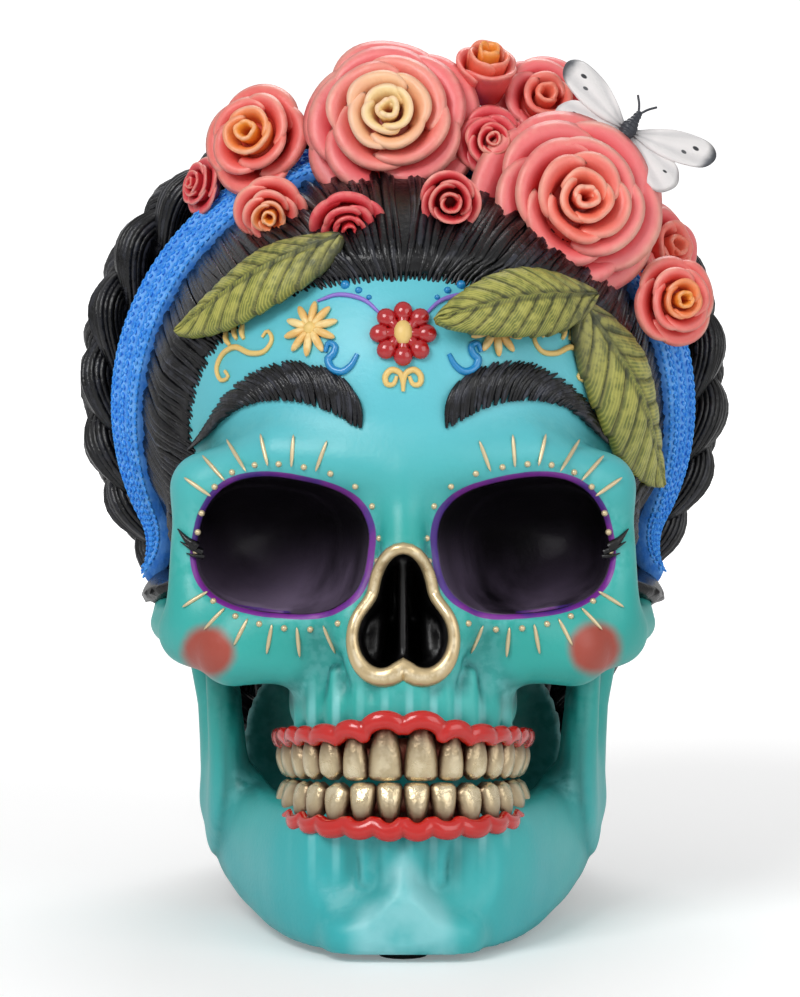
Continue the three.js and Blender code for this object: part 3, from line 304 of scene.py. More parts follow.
class Graph:  # a few short ways to add nodes to a tree
    def __init__(self, tree):
        self.tree = tree

    def set(self, socket, value):
        if isinstance(value, bpy.types.NodeSocket):
            self.tree.links.new(value, socket)
        else:
            socket.default_value = value

    def node(self, kind, settings=None, **inputs):
        node = self.tree.nodes.new(kind)
        for key, value in (settings or {}).items():
            setattr(node, key, value)
        for key, value in inputs.items():
            self.set(node.inputs[key.replace("_", " ")], value)
        return node

    def math(self, operation, a, b=0.0, clamp=False):
        node = self.node("ShaderNodeMath", {"operation": operation, "use_clamp": clamp})
        self.set(node.inputs[0], a)
        self.set(node.inputs[1], b)
        return node.outputs[0]

    def plus(self, a, b):
        return self.math("ADD", a, b)

    def less(self, a, b):
        return self.math("SUBTRACT", a, b)

    def times(self, a, *others):
        for b in others:
            a = self.math("MULTIPLY", a, b)
        return a

    def mix(self, share, a, b):
        node = self.node("ShaderNodeMix", {"data_type": "RGBA"})
        for i, value in ((0, share), (6, a), (7, b)):
            self.set(node.inputs[i], value)
        return node.outputs[2]

    def ramp(self, value, low, high):  # 0 below low, 1 above high
        node = self.node("ShaderNodeMapRange", {"interpolation_type": "SMOOTHSTEP"}, Value=value)
        self.set(node.inputs["From Min"], low)
        self.set(node.inputs["From Max"], high)
        return node.outputs["Result"]

    def fade(self, value, low, high):  # 1 below low, 0 above high
        return self.less(1.0, self.ramp(value, low, high))

    def attribute(self, name):
        return self.node("ShaderNodeAttribute", {"attribute_name": name}).outputs["Fac"]

    def named(self, name, kind="FLOAT"):  # an attribute in a Geometry Nodes tree
        node = self.node("GeometryNodeInputNamedAttribute", {"data_type": kind}, Name=name)
        return node.outputs["Attribute"]

    def noise(self, scale, detail=3.0, stretch=(1, 1, 1)):
        where = self.node("ShaderNodeTexCoord").outputs["Object"]
        mapping = self.node("ShaderNodeMapping", Vector=where, Scale=stretch)
        node = self.node("ShaderNodeTexNoise", Vector=mapping.outputs[0], Scale=scale, Detail=detail)
        return node.outputs["Fac"]


def newTree(name, kind, inputs, outputs):  # sockets are a name, a kind and a first value
    tree = bpy.data.node_groups.new(name, kind)
    for way, sockets in (("INPUT", inputs), ("OUTPUT", outputs)):
        for label, socketKind, value in sockets:
            socket = tree.interface.new_socket(label, in_out=way, socket_type="NodeSocket" + socketKind)
            if value is not None:
                socket.default_value = value
    return tree


# Geometry Nodes trees

geometrySocket = ("Geometry", "Geometry", None)
materialSocket = ("Material", "Material", None)


def endTree(g, geometry, material):
    real = g.node("GeometryNodeRealizeInstances", Geometry=geometry)
    smooth = g.node("GeometryNodeSetShadeSmooth", Geometry=real.outputs["Geometry"])
    paint = g.node("GeometryNodeSetMaterial", Geometry=smooth.outputs["Geometry"], Material=material)
    g.node("NodeGroupOutput", Geometry=paint.outputs["Geometry"])


def strandTree():  # round strands along lines, as thick as their points say
    sockets = [geometrySocket, ("Sides", "Int", 6), ("Thickness", "Float", 1.0), materialSocket]
    tree = newTree("strands", "GeometryNodeTree", sockets, [geometrySocket])
    g = Graph(tree)
    inputs = g.node("NodeGroupInput").outputs
    curve = g.node("GeometryNodeMeshToCurve", Mesh=inputs["Geometry"])
    profile = g.node("GeometryNodeCurvePrimitiveCircle", Resolution=inputs["Sides"], Radius=1.0)
    thick = g.times(g.named("thick"), inputs["Thickness"])
    sized = g.node("GeometryNodeSetCurveRadius", Curve=curve.outputs["Curve"], Radius=thick)
    tube = g.node("GeometryNodeCurveToMesh", Curve=sized.outputs["Curve"],
                  Profile_Curve=profile.outputs["Curve"], Fill_Caps=True)
    if "Scale" in tube.inputs:
        g.set(tube.inputs["Scale"], thick)
    endTree(g, tube.outputs["Mesh"], inputs["Material"])
    return tree


def studTree():  # a small round stud on each point, stretched by its size and turned to its face and aim
    sockets = [geometrySocket, ("Segments", "Int", 10), ("Rings", "Int", 6), ("Size", "Float", 1.0),
               materialSocket]
    tree = newTree("studs", "GeometryNodeTree", sockets, [geometrySocket])
    g = Graph(tree)
    inputs = g.node("NodeGroupInput").outputs
    ball = g.node("GeometryNodeMeshUVSphere", Radius=1.0, Segments=inputs["Segments"],
                  Rings=inputs["Rings"])
    face, aim, size = (g.named(name, "FLOAT_VECTOR") for name in ("face", "aim", "size"))
    faced = g.node("FunctionNodeAlignRotationToVector", {"axis": "Z"}, Vector=face)
    aimed = g.node("FunctionNodeAlignRotationToVector", {"axis": "X", "pivot_axis": "Z"},
                   Rotation=faced.outputs["Rotation"], Vector=aim)
    scale = g.node("ShaderNodeVectorMath", {"operation": "SCALE"}, Vector=size, Scale=inputs["Size"])
    spots = g.node("GeometryNodeMeshToPoints", Mesh=inputs["Geometry"])
    placed = g.node("GeometryNodeInstanceOnPoints", Points=spots.outputs["Points"],
                    Instance=ball.outputs["Mesh"],
                    Rotation=aimed.outputs["Rotation"], Scale=scale.outputs["Vector"])
    endTree(g, placed.outputs["Instances"], inputs["Material"])
    return tree


def runTree(mesh, tree, values):
    source = bpy.data.objects.new("source", mesh)
    bpy.context.scene.collection.objects.link(source)
    modifier = source.modifiers.new("build", "NODES")
    modifier.node_group = tree
    for item in tree.interface.items_tree:
        if item.in_out == "INPUT" and item.name in values:
            modifier[item.identifier] = values[item.name]
    graph = bpy.context.evaluated_depsgraph_get()
    result = bpy.data.meshes.new_from_object(source.evaluated_get(graph), depsgraph=graph)
    bpy.data.objects.remove(source)
    verts = np.empty(len(result.vertices) * 3, np.float32)
    result.vertices.foreach_get("co", verts)
    result.vertices.foreach_set("co", inBox(verts.reshape(-1, 3)).astype(np.float32).ravel())
    result.update()
    return result


strands = strandTree()
studs = studTree()


def strandMesh(lines, radii, material, sides=6, pale=None):  # lines in the head's frame, in mm
    edges, start = [], 0
    for line in lines:
        edges += [(start + i, start + i + 1) for i in range(len(line) - 1)]
        start += len(line)
    mesh = bpy.data.meshes.new("lines")
    mesh.from_pydata(toRow(np.concatenate(lines)).tolist(), edges, [])
    setValues(mesh, {"thick": np.concatenate(radii) / perMetre})
    # strands with a pale share take the ridge brush: drybrushed hair that also stands in as painted highlight
    # streaks
    if pale:
        setValues(mesh, {"ridge": np.concatenate(pale)})
    return runTree(mesh, strands, {"Sides": sides, "Material": material})


def studMesh(points, face, aim, size, material, segments=10, rings=6):  # in the head's frame, in mm
    face, aim, size = np.array(face), np.array(aim), np.array(size)
    mesh = bpy.data.meshes.new("spots")
    mesh.from_pydata(toRow(points).tolist(), [], [])
    turned = {"face": face @ leanTurn.T, "aim": aim @ leanTurn.T, "size": size / perMetre}
    setValues(mesh, turned, "FLOAT_VECTOR", "vector")
    return runTree(mesh, studs, {"Segments": segments, "Rings": rings, "Material": material})


# Paint with mottling, painted shade in the recesses and painted highlights on the ridges

def mottledShadedPaintGroup():  # airbrushed paint, with painted shade in the recesses laid on as a dark wash, and a pale drybrush over the ridges that also stands in as a painted highlight
    sockets = [(label, "Color", None) for label in ("Colour", "Wash", "Brush")]
    sockets += [(label, "Float", None) for label in ("Recess", "Ridge", "Mottle", "Roughness", "Grain")]
    results = [("Colour", "Color", None), ("Roughness", "Float", None), ("Height", "Float", None)]
    tree = newTree("mottledShadedPaint", "ShaderNodeTree", sockets, results)
    s = Graph(tree)
    inputs = s.node("NodeGroupInput").outputs
    cloudy = s.noise(45.0, 4.0)
    fine = s.noise(420.0, 4.0)
    darker = s.mix(0.45, inputs["Colour"], inputs["Wash"])
    base = s.mix(s.times(s.ramp(cloudy, 0.35, 0.7), inputs["Mottle"]), inputs["Colour"], darker)
    # painted shade: the recess share, broken by fine noise, darkens the paint towards the shade wash colour
    broken = s.math("MULTIPLY", inputs["Recess"], s.plus(s.times(fine, 0.6), 0.7), True)
    shadeWashed = s.mix(broken, base, inputs["Wash"])
    # painted highlight: the pale drybrush on the ridges, broken by fine noise
    highlightBrushed = s.times(inputs["Ridge"], s.ramp(fine, 0.36, 0.62))
    varied = s.plus(inputs["Roughness"], s.times(s.less(cloudy, 0.5), 0.25))
    s.node("NodeGroupOutput", Colour=s.mix(highlightBrushed, shadeWashed, inputs["Brush"]),
           Roughness=s.math("ADD", varied, s.times(inputs["Recess"], 0.15), True),
           Height=s.times(s.noise(900.0, 5.0), inputs["Grain"]))
    return tree


mottledShadedPaint = mottledShadedPaintGroup()
bumpDepth = 0.0004


def paintMaterial(name, base, shadeWash, brushHighlight, roughness=0.45, mottle=0.4, grain=1.0, metallic=0.0, coat=0.0,
                  recess=1.0, ridge=1.0, shine=0.5):  # recess and ridge say how much shows of the painted shade in recesses and of the pale drybrush highlight on ridges
    material = bpy.data.materials.new(name)
    material.use_nodes = True
    s = Graph(material.node_tree)
    shares = [value(s) if callable(value) else s.times(s.attribute(key), value)
              for key, value in (("recess", recess), ("ridge", ridge))]
    paint = s.node("ShaderNodeGroup", {"node_tree": mottledShadedPaint},
                   Colour=base(s) if callable(base) else colour(base),
                   Wash=colour(shadeWash), Brush=colour(brushHighlight), Recess=shares[0], Ridge=shares[1], Mottle=mottle,
                   Roughness=roughness, Grain=grain).outputs
    bump = s.node("ShaderNodeBump", Height=paint["Height"], Strength=0.35, Distance=bumpDepth)
    sockets = {"Base Color": paint["Colour"], "Roughness": paint["Roughness"], "Normal": bump.outputs[0],
               "Metallic": metallic, "Coat Weight": coat, "Coat Roughness": 0.15,
               "Specular IOR Level": shine}
    for key, value in sockets.items():
        s.set(material.node_tree.nodes["Principled BSDF"].inputs[key], value)
    return material


# Camera, lights and floor

view = {"aim": (-0.7, -40.0, 19.3), "distance": 2.4, "frameHeight": 0.2268, "sensor": 36.0, "farEnd": 20}
stage = {"reach": 4.0, "grey": 0.9, "roughness": 0.6, "glow": 0.2, "farGlow": 0.6, "near": 0.16,
         "far": 0.75}
studio = {"light": 0.32, "seen": 0.68, "glossy": 0.3, "lampAim": (0, 0, 0.1)}
lamps = [  # place, size and power
    ((-0.55, -0.9, 0.95), 0.6, 9.5),
    ((0.75, -0.8, 0.55), 0.8, 3.8),
    ((0.1, 0.8, 0.9), 0.6, 5.0),
]


def aimAt(piece, at, aim):
    piece.location = at
    piece.rotation_euler = (Vector(aim) - piece.location).to_track_quat("-Z", "Y").to_euler()
    bpy.context.scene.collection.objects.link(piece)


def setCamera():
    camera = bpy.data.objects.new("camera", bpy.data.cameras.new("camera"))
    aim = Vector(toRow(view["aim"]))
    way = Vector(leanTurn @ np.array([0, -1, 0]))
    aimAt(camera, aim + way * view["distance"], aim)
    camera.data.sensor_width = view["sensor"]
    camera.data.lens = view["sensor"] * view["distance"] / view["frameHeight"]
    camera.data.clip_end = view["farEnd"]
    bpy.context.scene.camera = camera


def setFloor():
    mesh = bpy.data.meshes.new("floor")
    reach = stage["reach"]
    corners = [(-reach, -reach, 0), (reach, -reach, 0), (reach, reach, 0), (-reach, reach, 0)]
    mesh.from_pydata(corners, [], [(0, 1, 2, 3)])
    floor = bpy.data.objects.new("floor", mesh)
    bpy.context.scene.collection.objects.link(floor)
    material = bpy.data.materials.new("paleFloor")
    material.use_nodes = True
    s = Graph(material.node_tree)
    where = s.node("ShaderNodeTexCoord").outputs["Object"]
    away = s.node("ShaderNodeVectorMath", {"operation": "LENGTH"}, Vector=where).outputs["Value"]
    glow = s.plus(stage["glow"], s.times(s.ramp(away, stage["near"], stage["far"]), stage["farGlow"]))
    seen = s.node("ShaderNodeLightPath").outputs["Is Camera Ray"]
    sockets = {"Base Color": (stage["grey"],) * 3 + (1,), "Roughness": stage["roughness"],
               "Emission Color": (1, 1, 1, 1), "Emission Strength": s.times(seen, glow)}
    for key, value in sockets.items():
        s.set(material.node_tree.nodes["Principled BSDF"].inputs[key], value)
    mesh.materials.append(material)


def setLights():
    world = bpy.data.worlds.new("studio")
    world.use_nodes = True
    bpy.context.scene.world = world
    s = Graph(world.node_tree)
    background = world.node_tree.nodes["Background"]
    path = s.node("ShaderNodeLightPath").outputs
    glossy = s.times(path["Is Glossy Ray"], studio["glossy"])
    seen = s.plus(s.times(path["Is Camera Ray"], studio["seen"]), glossy)
    s.set(background.inputs["Color"], (1, 1, 1, 1))
    s.set(background.inputs["Strength"], s.plus(studio["light"], seen))
    for i, (at, size, power) in enumerate(lamps):
        lamp = bpy.data.lights.new("softbox%d" % i, "AREA")
        lamp.size = size
        lamp.energy = power
        aimAt(bpy.data.objects.new(lamp.name, lamp), at, studio["lampAim"])


setCamera()
setFloor()
setLights()
bpy.context.scene.view_settings.view_transform = "Standard"
print("stage set")

# Bone

bone = {"cell": 1.15, "jawCell": 1.0, "coarse": 5.0, "fine": 1.8, "hollow": 13.0, "blushDepth": -20}
archPoints = [(0, -84.5), (7, -84), (13, -81.3), (18.3, -76.3), (22.2, -69.5), (24.8, -61.5), (26.4, -53),
              (27, -45)]
biteLevel = -44.0
orbit = {"centre": (27.5, -66.0, 8.5), "half": (17.5, 34.0, 15.2), "turn": (-16.0, -9.0), "power": 2.7}
vaultParts = [  # crown, forehead, temples, back of the head and base
    (lump, ((0, 1, 40), (58, 73, 55)), 0),
    (lump, ((0, -33, 42), (47, 44, 46)), 14),
    (lump, ((25, 18, 50), (32, 40, 38)), 12),
    (lump, ((0, 40, 18), (42, 32, 36)), 12),
    (lump, ((0, 5, -6), (38, 48, 20)), 10),
]
faceParts = [  # upper jaw, the root of the nose, and the cheekbones with their arches
    (lump, ((0, -50, -12), (27, 30, 26)), 0),
    (lump, ((0, -56, -28), (25.5, 27, 13)), 6),
    (lump, ((0, -58, 12), (17, 17, 20)), 6),
    (lump, ((37, -40, 8), (13, 18, 19)), 6),
    (bars, ([(26, -68, -15), (38, -64, -14), (47, -54, -11)], [7, 9, 6.5]), 8),
    (bars, ([(47, -59, -9), (47.5, -59, 8), (45.5, -60, 21)], [6.5, 5, 6]), 5),
    (bars, ([(48, -54, -11), (53, -36, -9), (52, -12, -5)], [6, 4.5, 5]), 5),
]
ridgeParts = [  # brow ridge, lower socket rim, bridge and sides of the nose, and the nose opening's rim
    (bars, ([(0, -74, 25), (12, -73.5, 27), (28, -70, 29), (44, -60.5, 23)], [7, 6, 6, 5.5]), 8),
    (bars, ([(11, -73, -3), (28, -70, -9), (45, -60, -6)], [5.5, 5, 5.5]), 5),
    (bar, ((0, -74, 21), (0, -83, 3), 5.5, 4.6), 5),
    (bar, ((6, -72, 18), (11.5, -76, -10), 4.5, 4.5), 4),
    (bars, ([(11.3, -77.5, -8), (10, -79, -18), (0, -80.5, -22)], [3.3, 3.2, 3]), 3),
]
noseParts = [(lump, ((0, -84, -4), (5.6, 30, 11)), 0), (lump, ((4.6, -84, -12), (5.6, 30, 7.5)), 3)]
insideParts = [  # the scrolls inside the nose, and the wall behind the mouth
    (bar, ((5.2, -60, -2), (6.7, -64, -15), 2.2, 2.6), 1.5),
    (lump, ((0, 5, -38), (37, 4.5, 31)), 3),
]
cheekHollow = ((24, -84, -20), (9, 8, 9))
socketShell = {"outer": 2.4, "inner": 0.2, "front": -51, "blend": 1.5}
septum = {"half": 1.1, "depth": -60, "level": -7, "reach": 14, "blend": 1.5}
plugHole = {"depth": -8.9, "radius": 8, "level": -30, "reach": 12}


def uncut(q):  # the skull before its openings
    d = blend(grow(q, None, vaultParts), grow(q, None, faceParts), 6)
    return grow(q, d, ridgeParts)


def smoothBone(p):
    return uncut(mirrored(p))


def orbitForm(q):
    return lump(q, orbit["centre"], orbit["half"], orbit["turn"], orbit["power"])


def noseForm(q):
    return grow(q, None, noseParts)


def archDepth(x):
    return float(np.interp(x, [p[0] for p in archPoints], [p[1] for p in archPoints]))


def rootParts(shares, top, topTaper, bottom, bottomTaper, upRadius, lowRadius, width):
    parts = []
    for x, wide in shares:
        y = archDepth(x)
        high = (x * topTaper, y + top[0], top[1])
        low = (x * bottomTaper, y + bottom[0], bottom[1])
        parts.append((bar, (high, low, upRadius(wide), lowRadius(wide)), width))
    return parts


upperRoots = rootParts([(3.6, 7.2), (9.9, 5.6), (15.6, 6.4), (20, 5.8), (23, 5.8)],
                       (3.4, -20), 0.95, (2.2, -38), 1, lambda wide: 1.6, lambda wide: wide * 0.36, 2.0)
lowerRoots = rootParts([(3, 5), (8.4, 5.2), (14.2, 6.2), (19, 5.8), (22.2, 5.8)],
                       (3.2, -53), 1, (4.2, -66), 0.95, lambda wide: wide * 0.34, lambda wide: 1.4, 2.2)


def skullForm(p):
    q = mirrored(p)
    d = carve(uncut(q), lump(q, *cheekHollow), 6)
    d = carve(d, orbitForm(q), 2.0)
    shell = np.maximum(orbitForm(q) - socketShell["outer"], socketShell["inner"] - orbitForm(q))
    d = blend(d, np.maximum(shell, socketShell["front"] - q[1]), socketShell["blend"])
    d = carve(d, noseForm(q), 1.6)
    plate = np.maximum(q[0] - septum["half"], np.abs(q[1] - septum["depth"]) - septum["reach"])
    plate = np.maximum(plate, np.abs(q[2] - septum["level"]) - septum["reach"])
    d = grow(q, blend(d, plate, septum["blend"]), insideParts + upperRoots)
    hole = np.hypot(q[0], q[1] - plugHole["depth"]) - plugHole["radius"]
    return np.maximum(d, -np.maximum(hole, np.abs(q[2] - plugHole["level"]) - plugHole["reach"]))


jawPath = [(0, -76.5, -66), (9, -75.5, -66), (17, -70.5, -65.5), (23.5, -60, -64.5), (28.5, -46, -62.5),
           (33.5, -30, -59.5), (38.5, -14, -53)]
jawHeights = [14.5, 14.3, 13.8, 13.3, 12.8, 12.5, 12.5]
jawDepths = [5.4, 5.4, 5.4, 5.4, 5.2, 4.8, 4.4]
jawEdge = [(0, -76.5, -77.5), (10, -75.5, -78), (18, -67, -77), (26.5, -51, -72.5), (33.5, -32, -65),
           (38.5, -14, -56), (40.5, -6, -50)]
jawLength = 6.5


def jawBody():  # lumps along the jaw's path
    parts = []
    for i in range(len(jawPath) - 1):
        a, b = np.array(jawPath[i], float), np.array(jawPath[i + 1], float)
        yaw = math.degrees(math.atan2(b[1] - a[1], b[0] - a[0]))
        for share in (0, 0.2, 0.4, 0.6, 0.8):
            tall = jawHeights[i] + (jawHeights[i + 1] - jawHeights[i]) * share
            deep = jawDepths[i] + (jawDepths[i + 1] - jawDepths[i]) * share
            parts.append((lump, (a + (b - a) * share, (jawLength, deep, tall), (yaw, 0)), 5))
    return parts


jawParts = jawBody() + [  # lower edge, the two ends of the branch, its plate, and the chin
    (bars, (jawEdge, [5, 5.2, 4.2, 3.8, 3.8, 4, 4.2]), 5),
    (bars, ([(40.5, -7, -50), (43.5, -5, -28), (46.5, -4, -8)], [4.6, 3.8, 4.5]), 5),
    (bars, ([(38.5, -26, -52), (41.5, -29, -30), (43, -30, -10)], [4.2, 3.2, 2.6]), 5),
    (lump, ((41, -16, -40), (3.4, 15, 20), (-6, -5)), 5),
    (lump, ((0, -80.5, -74), (8, 5.5, 8.5)), 6),
    (lump, ((11, -79, -79), (6, 5, 4.2)), 5),
]
chinHollow = ((13, -86, -64), (9, 8, 8))


def jawForm(p):
    q = mirrored(p)
    d = carve(grow(q, None, jawParts), lump(q, *chinHollow), 6)
    return np.maximum(grow(q, d, lowerRoots), floorForm(p))


def relief(form, points, reach):  # how deep in a recess, and how far up on a ridge, from 0 to 1
    normal = slopeOf(form, points)
    recess = np.clip((reach - form(columns(points + normal * reach))) / reach, 0, 1)
    ridge = np.clip((form(columns(points - normal * reach)) + reach) / reach, 0, 1)
    return recess, ridge


def reliefValues(form, reach):
    return lambda points: dict(zip(("recess", "ridge"), relief(form, points, reach)))


blushSpots = [(-43.8, -15.2), (43.2, -14.4)]
noBlush = 50.0


def boneValues(form):
    def values(points):
        x, y, z = columns(points)
        q = mirrored((x, y, z))
        recess, ridge = relief(form, points, bone["coarse"])
        fineRecess, fineRidge = relief(form, points, bone["fine"])
        near = np.minimum.reduce([np.hypot(x - spotX, z - spotZ) for spotX, spotZ in blushSpots])
        # how hollow each point lies among the skull and jaw, which the face paints as shade
        hollow, _ = relief(lambda p: np.minimum(skullForm(p), jawForm(p)), points, bone["hollow"])
        return {
            "hollow": hollow,
            "recess": np.clip(recess * 0.9 + fineRecess * 0.9 - 0.25, 0, 1),
            "ridge": np.clip(ridge * 0.6 + fineRidge * 1.4 - 0.3, 0, 1),
            "level": z,
            "across": x,
            "depth": y,
            "orbit": orbitForm(q),
            "nose": noseForm(q),
            "blush": np.where((y < bone["blushDepth"]) & (form is skullForm), near, noBlush),
        }
    return values


def faceColour(s):
    level = s.attribute("level")
    sky = s.mix(s.ramp(level, 4.0, 48.0), colour("2AA89F"), colour("62C4D2"))
    jaw = s.mix(s.ramp(level, -70.0, -24.0), colour("35B1B6"), sky)
    pale = s.mix(s.ramp(level, 10.0, 50.0), colour("45BDB9"), colour("74D0DC"))
    cloud = s.mix(s.times(s.ramp(s.noise(26.0, 1.5), 0.4, 0.75), 0.6), jaw, pale)
    # pale strokes down the roots of the teeth, painted highlights on the root bulges
    across = s.attribute("across")
    aside = s.math("ABSOLUTE", across)
    wave = s.math("SINE", s.times(across, 1.15))
    nearTeeth = s.times(s.ramp(level, -72.0, -56.0), s.fade(level, -28.0, -18.0), s.fade(aside, 18.0, 28.0))
    rootHighlight = s.times(s.ramp(wave, 0.2, 1.0), nearTeeth, s.ramp(s.noise(60.0), 0.3, 0.6))
    rootHighlighted = s.mix(s.times(rootHighlight, 0.55), cloud, colour("9BE6E8"))
    # a pale peak on the chin, a painted highlight
    peak = s.plus(level, s.times(aside, 1.3))
    chinHighlight = s.times(s.fade(peak, -63.0, -56.0), s.ramp(s.noise(70.0), 0.25, 0.55), s.fade(aside, 8.0, 14.0))
    # painted shade: the cheek hollows and the hollows under the bones darken towards deep teal
    hollowShade = s.times(s.ramp(s.attribute("hollow"), 0.18, 0.75), 0.85)
    return s.mix(hollowShade, s.mix(s.times(chinHighlight, 0.7), rootHighlighted, colour("9ADDE2")), colour("0C6864"))


def facePaint():
    material = paintMaterial("turquoisePaint", faceColour, "0B5F60", "86D6D8", 0.4, 0.12, 0.5, recess=0.75,
                             ridge=0.4)
    s = Graph(material.node_tree)
    inputs = material.node_tree.nodes["Principled BSDF"].inputs
    painted, rough = (inputs[key].links[0].from_socket for key in ("Base Color", "Roughness"))
    ragged = s.times(s.less(s.noise(220.0), 0.5), 1.1)
    blush = s.fade(s.plus(s.attribute("blush"), ragged), 4.2, 7.4)
    result = s.mix(s.times(blush, 0.92), painted, colour("AC341E"))
    # a purple rim round each socket, and a dark inside whose lower part is painted paler grey-purple as
    # painted light falling on the socket's floor
    near, depth = s.attribute("orbit"), s.attribute("depth")
    rim = s.times(s.fade(s.plus(near, s.times(ragged, 0.25)), 1.45, 1.65), s.fade(depth, -44.0, -41.0))
    inside = s.times(s.fade(s.plus(near, s.times(ragged, 0.2)), 0.25, 0.45), s.fade(depth, -30.0, -27.0))
    purple = s.mix(s.ramp(s.noise(90.0), 0.4, 0.6), colour("4B2C86"), colour("7B2C93"))
    low = s.fade(s.attribute("level"), -8.0, 15.0)
    litSocketFloor = s.times(low, s.ramp(s.noise(50.0, 6.0, (1, 1, 0.35)), 0.3, 0.68))
    result = s.mix(rim, result, purple)
    result = s.mix(inside, result, s.mix(litSocketFloor, colour("0B090D"), colour("84748F")))
    noseInside = s.times(s.fade(s.attribute("nose"), 0.5, 0.9), s.fade(depth, -46.0, -42.0))
    s.set(inputs["Base Color"], s.mix(noseInside, result, colour("09080A")))
    s.set(inputs["Roughness"], s.plus(rough, s.times(s.math("MAXIMUM", inside, noseInside), -0.08)))
    return material


turquoise = facePaint()
skullMesh = formMesh("skull", skullForm, (-62, -94, -72), (62, 78, 98), bone["cell"], boneValues(skullForm))
addPiece(skullMesh, "skull", turquoise, ["skull_shell"])
jawMesh = formMesh("jaw", jawForm, (-54, -92, -92), (54, 8, 2), bone["jawCell"], boneValues(jawForm))
addPiece(jawMesh, "jaw", turquoise, ["lower_jaw"])
print("bone made", len(skullMesh.polygons), len(jawMesh.polygons))

# Teeth and gums

teeth = {
    "upper": {"widths": [0.15, 0.12, 0.135, 0.125, 0.125, 0.18, 0.165], "height": 10.8, "way": 1,
              "heights": [1, 0.85, 0.82, 0.79, 0.77, 0.73, 0.69],
              "point": [0.06, 0.1, 0.45, 0.35, 0.3, 0.1, 0.1]},
    "lower": {"widths": [0.115, 0.12, 0.135, 0.13, 0.135, 0.19, 0.175], "height": 8.6, "way": -1,
              "heights": [0.94, 0.95, 1, 0.94, 0.88, 0.84, 0.8],
              "point": [0.05, 0.08, 0.4, 0.3, 0.25, 0.1, 0.1]},
    "gap": 0.12, "depth": 6.0, "root": 3.2, "fill": 0.97, "bulge": 1.5, "molarBulge": 1.8, "levels": 15,
    "around": 22,
    "backing": (-2.8, -1.1), "backingLow": 1.6, "backingHigh": 0.9,
}
archLine = smoothPath([(x, y, biteLevel) for x, y in archPoints], 400)
archReach = np.linalg.norm(np.diff(archLine, axis=0), axis=1).sum()


def onArch(share):  # a place on the arch's right half, with the way outwards and along it
    i = min(share, 1.0) * (len(archLine) - 1)
    k = int(min(i, len(archLine) - 2))
    at = archLine[k] + (archLine[k + 1] - archLine[k]) * (i - k)
    along = unit(archLine[min(k + 3, len(archLine) - 1)] - archLine[max(k - 3, 0)])
    if share < 0.004:
        along = np.array([1.0, 0, 0])
    return at, np.cross(along, upWay), along


def makeTooth(row, i, start):  # rings from the biting edge up to the root
    at, out, along = onArch(start + row["widths"][i] / 2)
    half = row["widths"][i] * archReach / 2 * teeth["fill"]
    tall = row["height"] * row["heights"][i]
    molar = i > 4
    levels = np.linspace(0, 1, teeth["levels"])[:, None] * (tall + teeth["root"])
    crown = np.maximum(0, 1 - levels / tall)  # 1 at the biting edge, 0 at the neck
    rounded = np.sqrt(1 - (1 - np.minimum(1, levels / 1.1)) ** 2)
    wide = half * (0.66 + 0.34 * np.sin(math.pi / 2 * np.minimum(1, crown * 1.3))) * (0.8 + 0.2 * rounded)
    front = teeth["molarBulge" if molar else "bulge"] * np.sin(math.pi * (0.25 + 0.75 * crown)) * rounded
    angle = np.array([2 * math.pi * k / teeth["around"] for k in range(teeth["around"])])[None, :]
    u, w = (np.sign(v) * np.abs(v) ** 0.75 for v in (np.cos(angle), np.sin(angle)))
    groove = 0 if molar else 0.18 * np.cos(u * math.pi * 3) * crown
    bulge = np.where(w > 0, front * (1 - 0.75 * u * u) + groove, 0)
    deep = w * teeth["depth"] * 0.28 * (0.5 + 0.5 * rounded) + bulge
    lift = row["point"][i] * tall * 0.5 * np.abs(u) ** 1.7 * crown ** 2
    rings = at + along * (u * wide)[..., None] + out * (deep - teeth["depth"] * 0.22)[..., None]
    rings = rings + upWay * row["way"] * (teeth["gap"] + levels + lift)[..., None]
    # painted shade at each tooth's sides, at its neck and over its back, and a painted highlight down the
    # middle of the crown
    edge = np.maximum(np.abs(u) ** 5, (1 - crown) ** 2.5)
    recess = np.minimum(1, np.maximum(edge, np.where(w < -0.2, 0.6, 0)))
    return rings, recess, np.maximum(0, 1 - np.abs(u) * 1.5) * crown


def toothParts(row, side):
    parts, start = [], 0.0
    for i, width in enumerate(row["widths"]):
        grids = makeTooth(row, i, start)
        start += width
        if side * row["way"] < 0:
            grids = [grid[:, ::-1] for grid in grids]
        rings, recess, ridge = grids
        parts.append(skin(rings * np.array([side, 1, 1]), {"recess": recess, "ridge": ridge}))
    return parts


def toothBacking(row):  # the strip that the teeth of a row are cast on, painted wholly in the dark recess colour as painted shade
    line = evenly(bothWays(archLine), 90)
    along = unit(np.gradient(line, axis=0))
    out = unit(np.cross(along, upWay))
    heights = sorted(row["way"] * h for h in (teeth["backingLow"], row["height"] * teeth["backingHigh"]))
    back, front = teeth["backing"]
    corners = [(back, heights[1]), (front, heights[1]), (front, heights[0]), (back, heights[0])]
    rings = np.stack([line + out * deep + upWay * high for deep, high in corners], axis=1)
    return skin(rings, {"recess": np.ones(rings.shape[:2]), "ridge": np.zeros(rings.shape[:2])})


toothGold = paintMaterial("toothGold", "D8C6A0", "4A1C10", "FFF2D2", 0.27, 0.6, 1.6, 0.78)
for key in ("upper", "lower"):
    row = joined(toothParts(teeth[key], 1) + toothParts(teeth[key], -1) + [toothBacking(teeth[key])])
    addSolid(row, key + "_teeth_row", toothGold, [key + "_teeth"])

